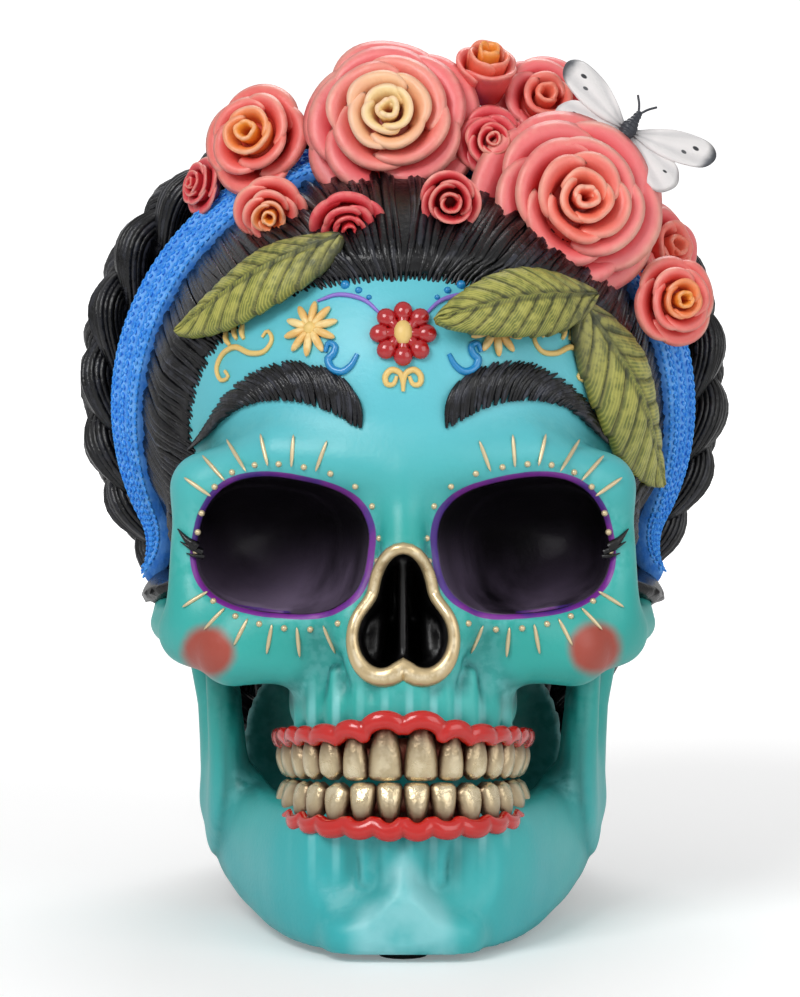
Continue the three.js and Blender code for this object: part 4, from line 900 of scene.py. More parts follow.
gums = {"radius": 1.6, "backShare": 0.85, "cell": 0.5, "swells": (1.35, 1.15, 0.85), "middle": 9.5,
        "reach": 7.5,
        "foot": 1.1, "relief": 1.4}


def gumForm(row):
    lines, start = [], 0.0
    for i, width in enumerate(row["widths"]):
        tall = row["height"] * row["heights"][i]
        swell = gums["swells"][min(i, 2)]
        arc = []
        for share in np.linspace(0.08, 0.92, 9):
            at, out, _ = onArch(start + width * share)
            dome = math.sqrt(1 - 0.97 * (2 * share - 1) ** 2)
            arc.append(at + out * (0.5 + 1.1 * dome) + upWay * row["way"] * (tall + 0.7 + 2.2 * swell * dome))
        lines.append(arc)
        start += width

    def form(p):
        q = mirrored(p)
        d = None
        for i, arc in enumerate(lines):
            size = gums["radius"] if i < 3 else gums["radius"] * gums["backShare"]
            low = [point - upWay * row["way"] * gums["foot"] for point in arc]
            part = blend(bars(q, arc, [size] * 9), bars(q, low, [size] * 9), 1.0)
            d = part if d is None else blend(d, part, 0.35)
        return d
    return form


gumRed = paintMaterial("gumRed", "C6150E", "520604", "E8483A", 0.22, 0.1, 0.3, 0.0, 0.5, ridge=0.3)
for key in ("upper", "lower"):
    form = gumForm(teeth[key])
    middle = biteLevel + teeth[key]["way"] * gums["middle"]
    low, high = (-32, -90, middle - gums["reach"]), (32, -40, middle + gums["reach"])
    mesh = formMesh(key + "_gum_rim", form, low, high, gums["cell"], reliefValues(form, gums["relief"]))
    addPiece(mesh, key + "_gum_rim", gumRed, [key + "_gum"])
print("teeth made")

# Nose rim

noseRim = {"width": 1.35, "flare": 0.72, "stand": 1.3, "lift": 0.3, "steps": 72, "sides": 12,
           "middle": -9.5,
           "depth": -84.0, "smooth": 9}


def makeNoseRim():
    angle = np.linspace(0, 2 * math.pi, noseRim["steps"], endpoint=False) + math.pi / 2
    reach = np.full(angle.shape, 22.0)

    def spot():
        return np.cos(angle) * reach, noseRim["middle"] + np.sin(angle) * reach
    for _ in range(80):
        x, z = spot()
        reach = reach - (noseForm((np.abs(x), np.full_like(x, noseRim["depth"]),
                                   z)) - noseRim["width"] * 0.9) * 0.6
    seat = fromFront(smoothBone, *spot())
    wide = noseRim["smooth"]
    padded = np.concatenate([seat[-(wide // 2):, 1], seat[:, 1], seat[:wide // 2, 1]])
    seat[:, 1] = np.minimum(np.convolve(padded, np.ones(wide) / wide, "valid"), seat[:, 1])
    along = unit(np.roll(seat, -1, axis=0) - np.roll(seat, 1, axis=0))
    across = unit(np.cross(along, np.array([0, -1.0, 0])))
    out = unit(np.cross(across, along))
    out = np.where(out[:, 1:2] > 0, -out, out)
    low = np.maximum(0, -np.sin(angle)) ** 2
    wide = noseRim["width"] * (1 + low * noseRim["flare"])
    turn = np.array([2 * math.pi * k / noseRim["sides"] for k in range(noseRim["sides"])])
    aside = across[:, None] * (np.cos(turn)[None, :] * wide[:, None])[..., None]
    raised = out[:, None] * (np.sin(turn) * noseRim["stand"] + noseRim["lift"])[None, :, None]
    rows = np.ones((len(angle), 1))
    # painted shade on the rim's underside against the bone, and a painted highlight along its crest
    values = {"recess": np.maximum(0, -np.sin(turn)) * 0.9 * rows,
              "ridge": np.maximum(0, np.sin(turn)) * rows}
    return skin(seat[:, None] + aside + raised, values, closed=True)


rimGold = paintMaterial("rimGold", "CDB78C", "6B4526", "F4E4C2", 0.3, 0.2, 0.5, 0.6,
                        ridge=lambda s: s.ramp(s.attribute("ridge"), 0.86, 1.0))
addSolid(makeNoseRim(), "nose_edge", rimGold, ["nose_rim"])

# Hair

hair = {"thickness": 3.6, "cell": 1.7, "strandRadius": 0.95, "seed": 7, "fan": 300, "inner": 2, "back": 96,
        "nape": 22,
        "thinning": 3.1, "thinReach": 9, "spacing": 3.1, "backSpacing": 3.2, "napeSpacing": 3.0,
        "shortest": 4}
hairline = place([(0, y, z) for y,
                  z in [(-0.43, 0.372), (-0.352, 0.29), (-0.308, 0.19), (-0.3, 0.07), (-0.28, 0),
                                         (-0.14, -0.02), (0.03, -0.05), (0.035, -0.32), (0.03, -0.56)]])
hairEdge = smoothPath(hairline, 120)
hairEdgeUp = np.vstack([hairEdge[0] + (0, -15.0, 7.0), hairEdge])
napeKnot = ((0, 34, -35.6), (34, 30, 42))


def hairForm(p):
    q = mirrored(p)
    return blend(uncut(q) - hair["thickness"], lump(q, *napeKnot), 14.2)


def behindHairline(p):  # negative where hair grows, in the side view
    front = hairEdgeUp[::-1]
    return np.interp(p[2], front[:, 2], front[:, 1]) - p[1]


def combedForm(p):  # the hair's surface, which thins out towards the hairline
    return hairForm(p) + hair["thinning"] * (1 - np.clip(-behindHairline(p) / hair["thinReach"], 0, 1))


def hairCapForm(p):
    d = np.maximum(combedForm(p) + 0.1, behindHairline(p) + 0.6)
    d = np.maximum(d, -(smoothBone(p) + 0.8))
    return np.maximum(d, floorForm(p))


def strandColour(s):
    streak = s.noise(300.0, 4.0, (1, 1, 0.4))
    return s.mix(s.ramp(streak, 0.4, 0.8), colour("050507"), colour("101116"))


hairBlack = paintMaterial("hairBlack", strandColour, "030304", "3A3C46", 0.28, 0.3, 1.5, shine=0.4)
capMesh = formMesh("hair_bed", hairCapForm, (-66, -72, -84), (66, 84, 106), hair["cell"])
addPiece(capMesh, "hair_bed", hairBlack, ["hair_cap"])


def flowLines(starts, flow, steps, stride, rng):  # lines that follow a flow over the hair
    points = starts.copy()
    lines = [points.copy()]
    wander = rng.uniform(-0.12, 0.12, len(starts))
    for i in range(steps):
        normal = slopeOf(combedForm, points)
        way = flow(points)
        way = way - normal * (way * normal).sum(-1, keepdims=True)
        side = np.cross(normal, unit(way))
        way = unit(unit(way) + side * (wander * np.sin(i * 0.35 + wander * 50))[:, None])
        points = settle(combedForm, points + way * stride, rounds=1)
        lines.append(points.copy())
    return np.stack(lines, axis=1)


def slideIn(points, axis):  # moves points back along an axis until they meet the hair
    for _ in range(60):
        points[:, axis] -= np.maximum(hairForm(columns(points)), 0) * 0.7
    return points


def hairlineStarts(count):
    line = hairEdge[:70]
    side = slideIn(np.column_stack([np.full(len(line), 90.0), line[:, 1:]]), 0)
    side = side[hairForm((line[:, 0] * 0, line[:, 1], line[:, 2])) < 0]
    # the curve crosses the middle where the hairline's plane leaves the head
    flat = np.array([0, 1, 1])
    top = settle(hairForm, side[:1] * flat, rounds=4) * flat
    return settle(hairForm, evenly(bothWays(np.vstack([top, side])), count))


def frontFlow(p):
    sway = np.sign(p[:, 0]) * np.clip(np.abs(p[:, 0]) / 25, 0, 1)
    return np.stack([sway * 0.55, np.full(len(p), 1.0), np.full(len(p), 0.62)], axis=-1)


def backFlow(p):
    return np.stack([np.sign(p[:, 0]) * 1.0, p[:, 0] * 0, np.full(len(p), -0.45)], axis=-1)


def napeFlow(p):
    return np.stack([p[:, 0] * 0, np.full(len(p), 1.0), np.full(len(p), -0.7)], axis=-1)


def hairGroups(rng):  # back from the hairline, out from the parting, and behind the ears
    starts = hairlineStarts(hair["fan"])
    starts = starts[starts[:, 2] > 6]
    starts = settle(combedForm, starts - unit(frontFlow(starts)) * 3.0)
    groups = [flowLines(starts, frontFlow, 26, hair["spacing"], rng)]
    inner = settle(combedForm, (starts + np.array([0, 4.0, 1.5]))[::hair["inner"]], rounds=2)
    groups.append(flowLines(inner, frontFlow, 24, hair["spacing"], rng)[:, 1:])
    count = hair["back"]
    parting = np.column_stack([np.full(count, 0.5), np.full(count, 90.0), np.linspace(95, -62, count)])
    parting = slideIn(parting, 1)
    lowCount = hair["nape"]
    for side in (-1, 1):
        starts = np.column_stack([np.full(count, 1.2 * side), parting[:, 1:]])[parting[:, 1] > 10]
        groups.append(flowLines(settle(hairForm, starts, rounds=2), backFlow, 26, hair["backSpacing"], rng))
        low = np.column_stack([np.full(lowCount, 40.0 * side), np.full(lowCount, 8.0),
                               np.linspace(-6, -64, lowCount)])
        for _ in range(40):
            low[:, 0] -= side * hairForm(columns(low)) * 0.7
        low = low[np.abs(low[:, 0]) > 34]
        groups.append(flowLines(settle(hairForm, low, rounds=1), napeFlow, 18, hair["napeSpacing"], rng))
    return groups


def makeHairStrands():
    rng = np.random.default_rng(hair["seed"])
    lines, radii, pale = [], [], []
    for line in [line for group in hairGroups(rng) for line in group]:
        size = hair["strandRadius"] * rng.uniform(0.75, 1.25)
        lift = rng.uniform(-0.5, 0.15)
        off = (floorForm(columns(line)) > -0.8) | (np.abs(combedForm(columns(line))) > 1.2)
        off[1:] |= np.linalg.norm(np.diff(line, axis=0), axis=1) > 5
        line = line[:int(np.argmax(off)) if off.any() else len(line)]
        if len(line) < hair["shortest"]:
            continue
        share = np.linspace(0, 1, len(line))
        lines.append(line + slopeOf(hairForm, line) * (lift - 0.7 * (1 - np.clip(share * 8, 0,
                                                                                 1)))[:, None])
        radii.append(size * np.clip(0.35 + share * 6, 0, 1) * np.clip((1.04 - share) * 5, 0.15, 1))
        pale.append(np.full(len(line), rng.uniform(0, 1) ** 3 * 0.8))
    return strandMesh(lines, radii, hairBlack, 6, pale)


strandsMesh = makeHairStrands()
addPiece(strandsMesh, "hair_strands", None)
print("hair made", len(strandsMesh.polygons))

# Braids

braid = {"width": 25.0, "depth": 14.0, "strandWidth": 11.6, "strandDepth": 8.2, "turns": 4.7, "cords": 20,
         "steps": 190, "sink": 2.0, "twist": 2.4, "cord": 0.9}
braidShares = [(0.1, -0.12, 0.58), (0.26, -0.03, 0.55), (0.43, 0.06, 0.45), (0.54, 0.12, 0.28),
               (0.545, 0.17, 0.1),
               (0.47, 0.25, -0.06), (0.34, 0.36, -0.2), (0.14, 0.45, -0.27)]


def makeBraid(side):
    path = smoothPath(place(braidShares) * np.array([side, 1, 1]), braid["steps"])
    along = unit(np.gradient(path, axis=0))
    normal = slopeOf(hairForm, path)
    across = unit(np.cross(along, normal))
    out = -unit(np.cross(across, along))
    out = np.where((out * normal).sum(-1, keepdims=True) < 0, -out, out)
    share = np.linspace(0, 1, len(path))
    taper = 1 - 0.3 * np.abs(2 * share - 1) ** 3
    seat = path - normal * hairForm(columns(path))[:, None]
    rng = np.random.default_rng(hair["seed"] + side)
    lines, radii, pale = [], [], []
    for strand in range(3):
        angle = (braid["turns"] * share + strand / 3) * 2 * math.pi
        sway = (braid["width"] - braid["strandWidth"]) / 2 * np.sin(angle) * taper
        lift = (braid["depth"] - braid["strandDepth"]) / 2 * np.sin(2 * angle)
        lift = lift + braid["depth"] / 2 - braid["sink"]
        centre = seat + across * sway[:, None] + out * lift[:, None]
        heading = unit(np.gradient(centre, axis=0))
        wideWay = unit(np.cross(heading, out))
        highWay = unit(np.cross(wideWay, heading))
        fat = taper * (1 + 0.16 * np.sin(2 * angle))
        halfWide, halfHigh = ((braid[key] / 2 - braid["cord"]) * fat for key in ("strandWidth",
                                                                                 "strandDepth"))
        for cord in range(braid["cords"]):
            spin = 2 * math.pi * cord / braid["cords"] + share * braid["twist"]
            jitter = rng.uniform(-0.25, 0.15)
            line = centre + wideWay * ((halfWide + jitter) * np.cos(spin))[:, None]
            lines.append(line + highWay * ((halfHigh + jitter) * np.sin(spin))[:, None])
            radii.append(np.full(len(share), rng.uniform(0.85, 1.15)) * taper)
            pale.append(np.full(len(share), rng.uniform(0, 1) ** 3 * 0.7))
        for shift in (-0.45, 0, 0.45):  # the strand's core
            lines.append(centre + wideWay * (halfWide * shift)[:, None])
            radii.append(halfHigh * 0.93)
            pale.append(share * 0)
    return strandMesh(lines, radii, hairBlack, 5, pale)


sides = ((-1, "left"), (1, "right"))
for side, key in sides:
    addPiece(makeBraid(side), "plait_" + key, None, ["braid_" + key])
print("braids made")

# Headband

band = {"width": 15.0, "tip": 3.0, "tilt": 4.6, "ridges": 3, "pitch": 1.75, "steps": 240, "columns": 31,
        "base": 1.3, "ridge": 1.9, "under": 1.6, "underShare": 0.94}
stitch = {"perRidge": 5, "lean": 0.75, "length": 1.0, "height": 0.36, "base": 1.35, "girth": 0.24,
          "halfBand": 6.5}
bandShares = [(0, -0.2, 0.555), (0.24, -0.18, 0.47), (0.4, -0.16, 0.37), (0.5, -0.13, 0.24),
              (0.53, -0.09, 0.11),
              (0.515, -0.06, 0.03), (0.5, -0.045, 0.008)]


def bandFrame():
    path = smoothPath(bothWays(place(bandShares)), band["steps"])
    normal = slopeOf(hairForm, path)
    seat = path - normal * hairForm(columns(path))[:, None]
    along = unit(np.gradient(seat, axis=0))
    across = unit(np.cross(along, normal))
    end = np.abs(np.linspace(-1, 1, len(path)))
    half = (band["width"] + (band["tip"] - band["width"]) * end ** 2) / 2
    tilt = band["tilt"] * np.sin(math.pi * end) ** 0.7
    return seat, along, across, normal, half, tilt


def bandRidge(side):  # side runs from -1 to 1 across the band
    return np.abs(np.sin((side + 1) / 2 * math.pi * band["ridges"])) ** 0.7


def makeBand():
    seat, _, across, normal, half, tilt = bandFrame()
    side = np.linspace(-1, 1, band["columns"])
    ridge = bandRidge(side)
    raised = band["base"] + ridge * band["ridge"] + tilt[:, None] * (1 - side) / 2
    wide = across[:, None] * (half[:, None] * side)[..., None]
    upper = seat[:, None] + wide + normal[:, None] * raised[..., None]
    lower = seat[:, None] + wide * band["underShare"] - normal[:, None] * band["under"]
    rings = np.concatenate([upper, lower[:, ::-1]], axis=1)
    # painted shade in the grooves between the ribs and all over the band's underside, and painted highlights
    # on the ribs
    recess = np.tile(np.concatenate([1 - ridge, np.ones(len(side))]), (len(seat), 1)) * 0.8
    return skin(rings, {"recess": recess, "ridge": 1 - recess})


def makeStitches():
    frameLines = bandFrame()
    reach = np.concatenate([[0], np.cumsum(np.linalg.norm(np.diff(frameLines[0], axis=0), axis=1))])
    at = np.arange(1.0, reach[-1] - 1, band["pitch"])

    def pick(values):
        return np.stack([np.interp(at, reach, values[:, i]) for i in range(3)], axis=-1)
    seat = pick(frameLines[0])
    way, cross, face = (unit(pick(values)) for values in frameLines[1:4])
    wide, raised = (np.interp(at, reach, values) for values in frameLines[4:])
    girth = stitch["girth"] + wide / stitch["halfBand"] * stitch["girth"]
    size = np.column_stack([np.full(len(at), stitch["length"]), girth, np.full(len(at), stitch["height"])])
    points, aims = [], []
    count = band["ridges"] * stitch["perRidge"]
    for column in range(count):
        share = -1 + (column + 0.5) * 2 / count
        lean = stitch["lean"] if column % 2 else -stitch["lean"]
        shift = band["pitch"] / 2 * (column % 2)
        lift = stitch["base"] + bandRidge(share) * band["ridge"] + raised * (1 - share) / 2
        points.append(seat + cross * (wide * share)[:, None] + face * lift[:, None] + way * shift)
        aims.append(unit(way + cross * lean))
    return studMesh(np.concatenate(points), np.tile(face, (count, 1)), np.concatenate(aims),
                    np.tile(size, (count, 1)), knitBlue, 6, 4)


def knitColour(s):
    return s.mix(s.ramp(s.noise(1400.0, 2.0), 0.45, 0.7), colour("2A8EEC"), colour("60B2F8"))


knitBlue = paintMaterial("knitBlue", knitColour, "1558B0", "7CC0FF", 0.7, 0.1, 1.5)
addSolid(makeBand(), "band_strap", knitBlue, ["headband"])
addPiece(makeStitches(), "band_stitches", None)
print("headband made")

# Brows

browShares = [(0.09, 0.222), (0.16, 0.247), (0.24, 0.252), (0.32, 0.232), (0.39, 0.187)]
brow = {"height": 9.0, "heightShares": [0.95, 1, 0.86, 0.5, 0.1], "hairs": 46, "rows": 2, "radius": 0.6,
        "steps": 80,
        "length": 2.0, "longer": 4.0, "seed": 11, "points": 9}


def onBone(x, z):  # places on the bone as seen from the front, and its normals there
    seat = fromFront(smoothBone, x, z)
    return seat, slopeOf(smoothBone, seat)


def makeBrow(side):
    count = brow["steps"]
    line = smoothPath([(side * x * head["width"], 0, z * head["height"]) for x, z in browShares], count)
    height = np.interp(np.linspace(0, 4, count), range(5), brow["heightShares"]) * brow["height"]
    way = unit(np.gradient(line, axis=0))
    t = np.linspace(0, 1, brow["points"])
    bow = np.array([-side * 1.2, 0, 0.6]) * np.sin(t * math.pi)[:, None]
    thin = np.sin(np.clip(t * 0.9 + 0.08, 0, 1) * math.pi) ** 0.5
    rng = np.random.default_rng(brow["seed"] + side)
    lines, radii, pale = [], [], []
    for i in range(brow["hairs"]):
        share = (i + 0.5) / brow["hairs"]
        k = share * (count - 1)
        centre, heading = (np.array([np.interp(k, range(count),
                                               v[:, a]) for a in range(3)]) for v in (line, way))
        tall = np.interp(k, range(count), height)
        sweep = (brow["length"] + brow["longer"] * share) * heading
        for row in range(brow["rows"]):
            low = centre - sweep * 0.5 + np.array([rng.uniform(-0.4, 0.4), 0, -tall * (0.5 - 0.12 * row)])
            high = centre + sweep + np.array([0, 0, tall * (0.5 + rng.uniform(-0.08, 0.08))])
            bowed = low + (high - low) * t[:, None] + bow
            seat, normal = onBone(bowed[:, 0], bowed[:, 2])
            lines.append(seat + normal * (0.45 + 0.75 * np.sin(t * math.pi))[:, None])
            radii.append(brow["radius"] * rng.uniform(0.8, 1.2) * thin + 0.08)
            pale.append(np.full(len(t), rng.uniform(0, 1) ** 2))
    return strandMesh(lines, radii, hairBlack, 6, pale)


for side, key in sides:
    addPiece(makeBrow(side), "brow_hairs_" + key, None, ["brow_" + key])
print("brows made")

# Raised paint on the face

trim = {"dashRadius": 0.5, "dotRadius": 0.75, "dashGap": 2.4, "dotGap": 3.0, "inward": 1.5,
        "upperDashes": (78, 96, 113, 129, 143, 156), "upperLength": 7.6,
        "lowerDashes": (-56, -74, -92, -110, -127, -142), "lowerLength": 7.0,
        "dots": (34, 50, 68, 87, 105, 121, 136, 150, 168, 180, 192, -30, -47, -65, -83, -101, -118, -135,
                 14, 0, -14)}


def besideOrbit(side, angle, away):  # x and z of a spot beside an eye socket's rim, by degrees
    a = math.radians(180 - angle)
    c, s = np.cos(a), np.sin(a)
    p = orbit["power"]
    reach = (np.abs(c / orbit["half"][0]) ** p + np.abs(s / orbit["half"][2]) ** p) ** (-1 / p)
    scale = np.hypot(c, s * 1.1)
    x, z = c * reach + away * c / scale, s * reach + away * s * 1.1 / scale
    roll = math.radians(orbit["turn"][1])
    x, z = math.cos(roll) * x + math.sin(roll) * z, math.cos(roll) * z - math.sin(roll) * x
    return side * (orbit["centre"][0] + x - trim["inward"]), orbit["centre"][2] + z


def socketTrim():
    points, faces, aims, sizes = [], [], [], []
    dashes = [(angle, trim["upperLength"]) for angle in trim["upperDashes"]]
    dashes += [(angle, trim["lowerLength"]) for angle in trim["lowerDashes"]]
    for side in (-1, 1):
        for angle, length in dashes:
            spots = np.array([besideOrbit(side, angle, trim["dashGap"] + more) for more in (0, length)])
            seat = fromFront(smoothBone, spots[:, 0], spots[:, 1])
            middle, normal = onBone(*seat.mean(axis=0)[[0, 2]])
            points.append(middle)
            faces.append(normal)
            aims.append(unit(seat[1] - seat[0]))
            sizes.append((np.linalg.norm(seat[1] - seat[0]) / 2, trim["dashRadius"], trim["dashRadius"]))
        for angle in trim["dots"]:
            seat, normal = onBone(*besideOrbit(side, angle, trim["dotGap"]))
            points.append(seat)
            faces.append(normal)
            aims.append(upWay)
            sizes.append((trim["dotRadius"],) * 3)
    return studMesh(points, faces, aims, sizes, trimGold, 12, 8)


trimGold = paintMaterial("trimGold", "D9C7A0", "8A6238", "FFF8E4", 0.32, 0.3, 0.5, 0.4)
addPiece(socketTrim(), "socket_trim", None)

# Scrolls, as shares of the head's width and height
blueScroll = [(0.15, 0.293), (0.143, 0.304), (0.131, 0.3), (0.135, 0.29), (0.144, 0.284), (0.137, 0.272),
              (0.118, 0.268), (0.1, 0.276), (0.088, 0.29)]
goldCurl = [(-0.012, 0.262), (-0.019, 0.252), (-0.031, 0.252), (-0.034, 0.262), (-0.022, 0.27),
            (-0.006, 0.266),
            (0, 0.25), (0, 0.243)]
goldScroll = [(0.345, 0.27), (0.338, 0.262), (0.352, 0.258), (0.361, 0.272), (0.348, 0.292), (0.325, 0.3),
              (0.296, 0.292), (0.268, 0.294), (0.253, 0.31), (0.262, 0.32), (0.272, 0.312)]
goldSprig = [[(0.335, 0.302), (0.343, 0.31), (0.342, 0.324)],
             [(0.322, 0.31), (0.327, 0.318), (0.326, 0.328)],
             [(0.308, 0.31), (0.312, 0.318), (0.31, 0.33)]]
purpleArc = [(0.04, 0.338), (0.075, 0.358), (0.125, 0.365), (0.165, 0.357)]
lineLift = 0.3
lineTaper = 0.45


def addLines(name, shapes, radius, material, nodes=()):  # shapes are a list of shares and a side
    lines, radii = [], []
    for shares, side in shapes:
        line = smoothPath([(side * x * head["width"], 0, z * head["height"]) for x, z in shares], 40)
        seat, normal = onBone(line[:, 0], line[:, 2])
        lines.append(seat + normal * lineLift)
        radii.append(radius * (1 - lineTaper + lineTaper * np.sin(np.linspace(0, 1, len(line)) * math.pi)))
    addPiece(strandMesh(lines, radii, material, 8), name, None, nodes)


scrollBlue = paintMaterial("scrollBlue", "1787C4", "0A4F7C", "6FC8F2", 0.25, 0.2, 0.4, 0.0, 0.4)
ochre = paintMaterial("ochrePaint", "E9C77A", "A8713A", "FFF0BE", 0.42, 0.3, 0.8)
mauve = paintMaterial("mauvePaint", "8C72CC", "5B3F9C", "BFAEEA", 0.4, 0.2, 0.4)
for side, key in sides:
    addLines("scroll_blue_" + key, [(blueScroll, side)], 0.95, scrollBlue,
             ["blue_scroll_" + key])
addLines("curl_gold", [(goldCurl, 1), (goldCurl, -1)], 0.75, ochre, ["gold_curl"])
for side, key in sides:
    addLines("scroll_gold_" + key, [(shares, side) for shares in [goldScroll] + goldSprig], 0.7, ochre,
             ["gold_scroll_" + key])
addLines("arcs_mauve", [(purpleArc, 1), (purpleArc, -1)], 0.55, mauve)

beads = [(0.112, 0.378, 1.1), (0.086, 0.371, 0.85), (0.066, 0.362, 0.65),
         (0.13, 0.389, 0.7)]  # place and radius


def makeBeads():
    found = np.array([(side * x, z, r) for x, z, r in beads for side in (-1, 1)])
    seat, normal = onBone(found[:, 0] * head["width"], found[:, 1] * head["height"])
    return studMesh(seat, normal, [upWay] * len(found), np.repeat(found[:, 2:], 3, axis=1), scrollBlue, 14,
                    10)


addPiece(makeBeads(), "beads_blue", None)

lashes = [  # x and z of three points, and a radius
    ([(46.5, 8.5), (48.5, 10.0), (50.5, 12.5)], 1.25),
    ([(45.5, 7.2), (48, 8.4), (50, 9.6)], 0.9),
    ([(45.2, 6.2), (47.2, 6.4), (48.8, 7.0)], 0.7),
]


def makeLashes():  # a short dark wing at each socket's outer corner
    lines, radii = [], []
    for side in (-1, 1):
        for spots, size in lashes:
            line = smoothPath([(side * x, 0, z) for x, z in spots], 14)
            seat, normal = onBone(line[:, 0], line[:, 2])
            lines.append(seat + normal * 0.4)
            radii.append(size * np.linspace(1, 0.12, 14))
    return strandMesh(lines, radii, hairBlack, 8)


addPiece(makeLashes(), "lash_wings", None)

blossoms = {  # places are shares, and a petal's balls have a place, a size and a lift
    "red": {"at": (0.0, 0.315), "petals": 8, "radius": 8.0, "turn": math.pi / 2, "heart": (2.9, 2.1, 1.7),
            "lift": 1.4,
            "balls": [(0.42, (3.0, 1.35, 1.4), 0.5), (0.66, (2.35, 2.2, 1.75), 0.6)], "sides": (20, 14)},
    "daisy": {"at": (0.178, 0.322), "petals": 10, "radius": 6.3, "turn": 0.3, "heart": (1.6, 1.5, 1.3),
              "lift": 0.7,
              "balls": [(0.6, (2.9, 0.95, 0.95), 0.55)], "sides": (16, 10)},
}


def addBlossom(plan, side, names, material, nodes):
    seat, normal = onBone(side * plan["at"][0] * head["width"], plan["at"][1] * head["height"])
    level = unit(np.cross(upWay, normal))
    rise = np.cross(normal, level)
    points, faces, aims, sizes = [], [], [], []
    for i in range(plan["petals"]):
        a = plan["turn"] + 2 * math.pi * i / plan["petals"]
        way = level * math.cos(a) + rise * math.sin(a)
        for along, size, lift in plan["balls"]:
            points.append(seat + way * plan["radius"] * along + normal * lift)
            faces.append(unit(normal + way * 0.12))
            aims.append(way)
            sizes.append(size)
    addPiece(studMesh(points, faces, aims, sizes, material, 16, 10), names[0], None, nodes[:1])
    heart = studMesh([seat + normal * plan["lift"]], [normal], [upWay], [plan["heart"]], ochre,
                     *plan["sides"])
    addPiece(heart, names[1], None, nodes[1:])


def daisyColour(s):
    return s.mix(s.ramp(s.noise(220.0), 0.42, 0.62), colour("E8BC70"), colour("F6DC9C"))


flowerRed = paintMaterial("flowerRed", "B01218", "3E0408", "F0605A", 0.2, 0.2, 0.3, 0.0, 0.7)
daisyPaint = paintMaterial("daisyPaint", daisyColour, "8A4E22", "FFF2C8", 0.4, 0.3, 0.6)
addBlossom(blossoms["red"], 1, ["flower_red_petals", "flower_red_centre"], flowerRed,
           ["red_flower", "red_flower_centre"])
for side, key in sides:
    addBlossom(blossoms["daisy"], side, ["daisy_petals_" + key, "daisy_heart_" + key], daisyPaint,
               ["daisy_" + key, "daisy_%s_centre" % key])
print("face trim made")

# Leaves

leafPlans = {
    "leaf_left": {"points": [(-0.112, -0.45, 0.433), (-0.267, -0.435, 0.392), (-0.431, -0.325, 0.315)],
                  "face": (-0.54, -0.68, 0.5), "width": 17.0, "veins": 9},
    "leaf_middle": {"points": [(0.366, -0.38, 0.362), (0.216, -0.5, 0.356), (0.057, -0.55, 0.33)],
                    "face": (0.45, -0.8, 0.39), "width": 17.0, "veins": 9},
    "leaf_right": {"points": [(0.336, -0.4, 0.354), (0.44, -0.345, 0.25), (0.495, -0.17, 0.126)],
                   "face": (0.72, -0.68, 0.15), "width": 23.0, "veins": 8},
}
leaf = {"rows": 110, "columns": 49, "lift": 2.2, "thick": 2.0, "fold": 0.3, "slant": 0.17, "teeth": 0.07,
        "rib": 1.1, "ribWidth": 0.055, "puff": 0.9, "grain": 0.06}


def makeLeaf(plan):
    path = smoothPath(place(plan["points"]), leaf["rows"])
    along = unit(np.gradient(path, axis=0))
    out = np.tile(np.array(plan["face"]), (leaf["rows"], 1))
    out = unit(out - along * (out * along).sum(-1, keepdims=True))
    across = np.cross(along, out)
    s = np.linspace(0, 1, leaf["rows"])[:, None]
    t = np.linspace(-1, 1, leaf["columns"])[None, :]
    reach = np.maximum(0.06, np.sin(math.pi * s ** 0.85) ** 0.7)
    odd = np.where(t > 0, 0.5, 0.0)
    phase = (s - leaf["slant"] * np.abs(t) ** 1.1) * plan["veins"] + odd
    groove = np.abs(2 * (phase - np.floor(phase)) - 1) ** 5
    edge = (s - leaf["slant"]) * plan["veins"] + odd
    half = plan["width"] / 2 * reach * (1 + leaf["teeth"] * ((edge - np.floor(edge)) - 0.5))
    rib = np.exp(-(t / leaf["ribWidth"]) ** 2) * (1 - 0.5 * s) * leaf["rib"]
    puff = (1 - groove) * np.clip(np.abs(t) * 5, 0, 1) * (1 - np.abs(t) ** 6) * leaf["puff"]
    grain = leaf["grain"] * np.sin(phase * 18) * np.abs(t)
    folded = leaf["lift"] - np.abs(t) ** 1.6 * half * leaf["fold"]
    flat = path[:, None] + across[:, None] * (half * t)[..., None]
    top = flat + out[:, None] * (folded + puff + rib + grain)[..., None]
    bottom = flat + out[:, None] * (folded - leaf["thick"])[..., None]
    vein = np.clip(groove + np.exp(-((np.abs(t) - 0.1) / 0.05) ** 2) * 0.6, 0, 1)
    values = {"recess": vein, "ridge": np.clip(puff, 0, 1), "along": s * np.ones_like(t), "streak": phase}
    return sheet(top, bottom, values)


def leafColour(s):
    streak = s.math("SINE", s.times(s.attribute("streak"), 40.0))
    bladeColour = s.mix(s.ramp(s.plus(streak, s.noise(150.0, 3.0)), 0.1, 1.6), colour("727B34"), colour("ABA84F"))
    # painted shade: darker grey-brown towards the leaf's foot among the flowers
    return s.mix(s.ramp(s.attribute("along"), 0.02, 0.42), colour("4C4E37"), bladeColour)


leafGreen = paintMaterial("leafGreen", leafColour, "2B3020", "CCC666", 0.48, 0.5, 1.2, ridge=0.55)
for node, plan in leafPlans.items():
    addSolid(makeLeaf(plan), node + "_blade", leafGreen, [node])
print("leaves made")

# Roses

petalGrid = {"across": 23, "up": 15, "lip": 0.22, "edge": 0.14, "flare": 0.38}


def roundEnd(values, width):  # 1, falling off to 0 in a quarter circle over the last width before 1
    return np.sqrt(np.clip(1 - np.clip((values - 1 + width) / width, 0, 1) ** 2, 0, 1))


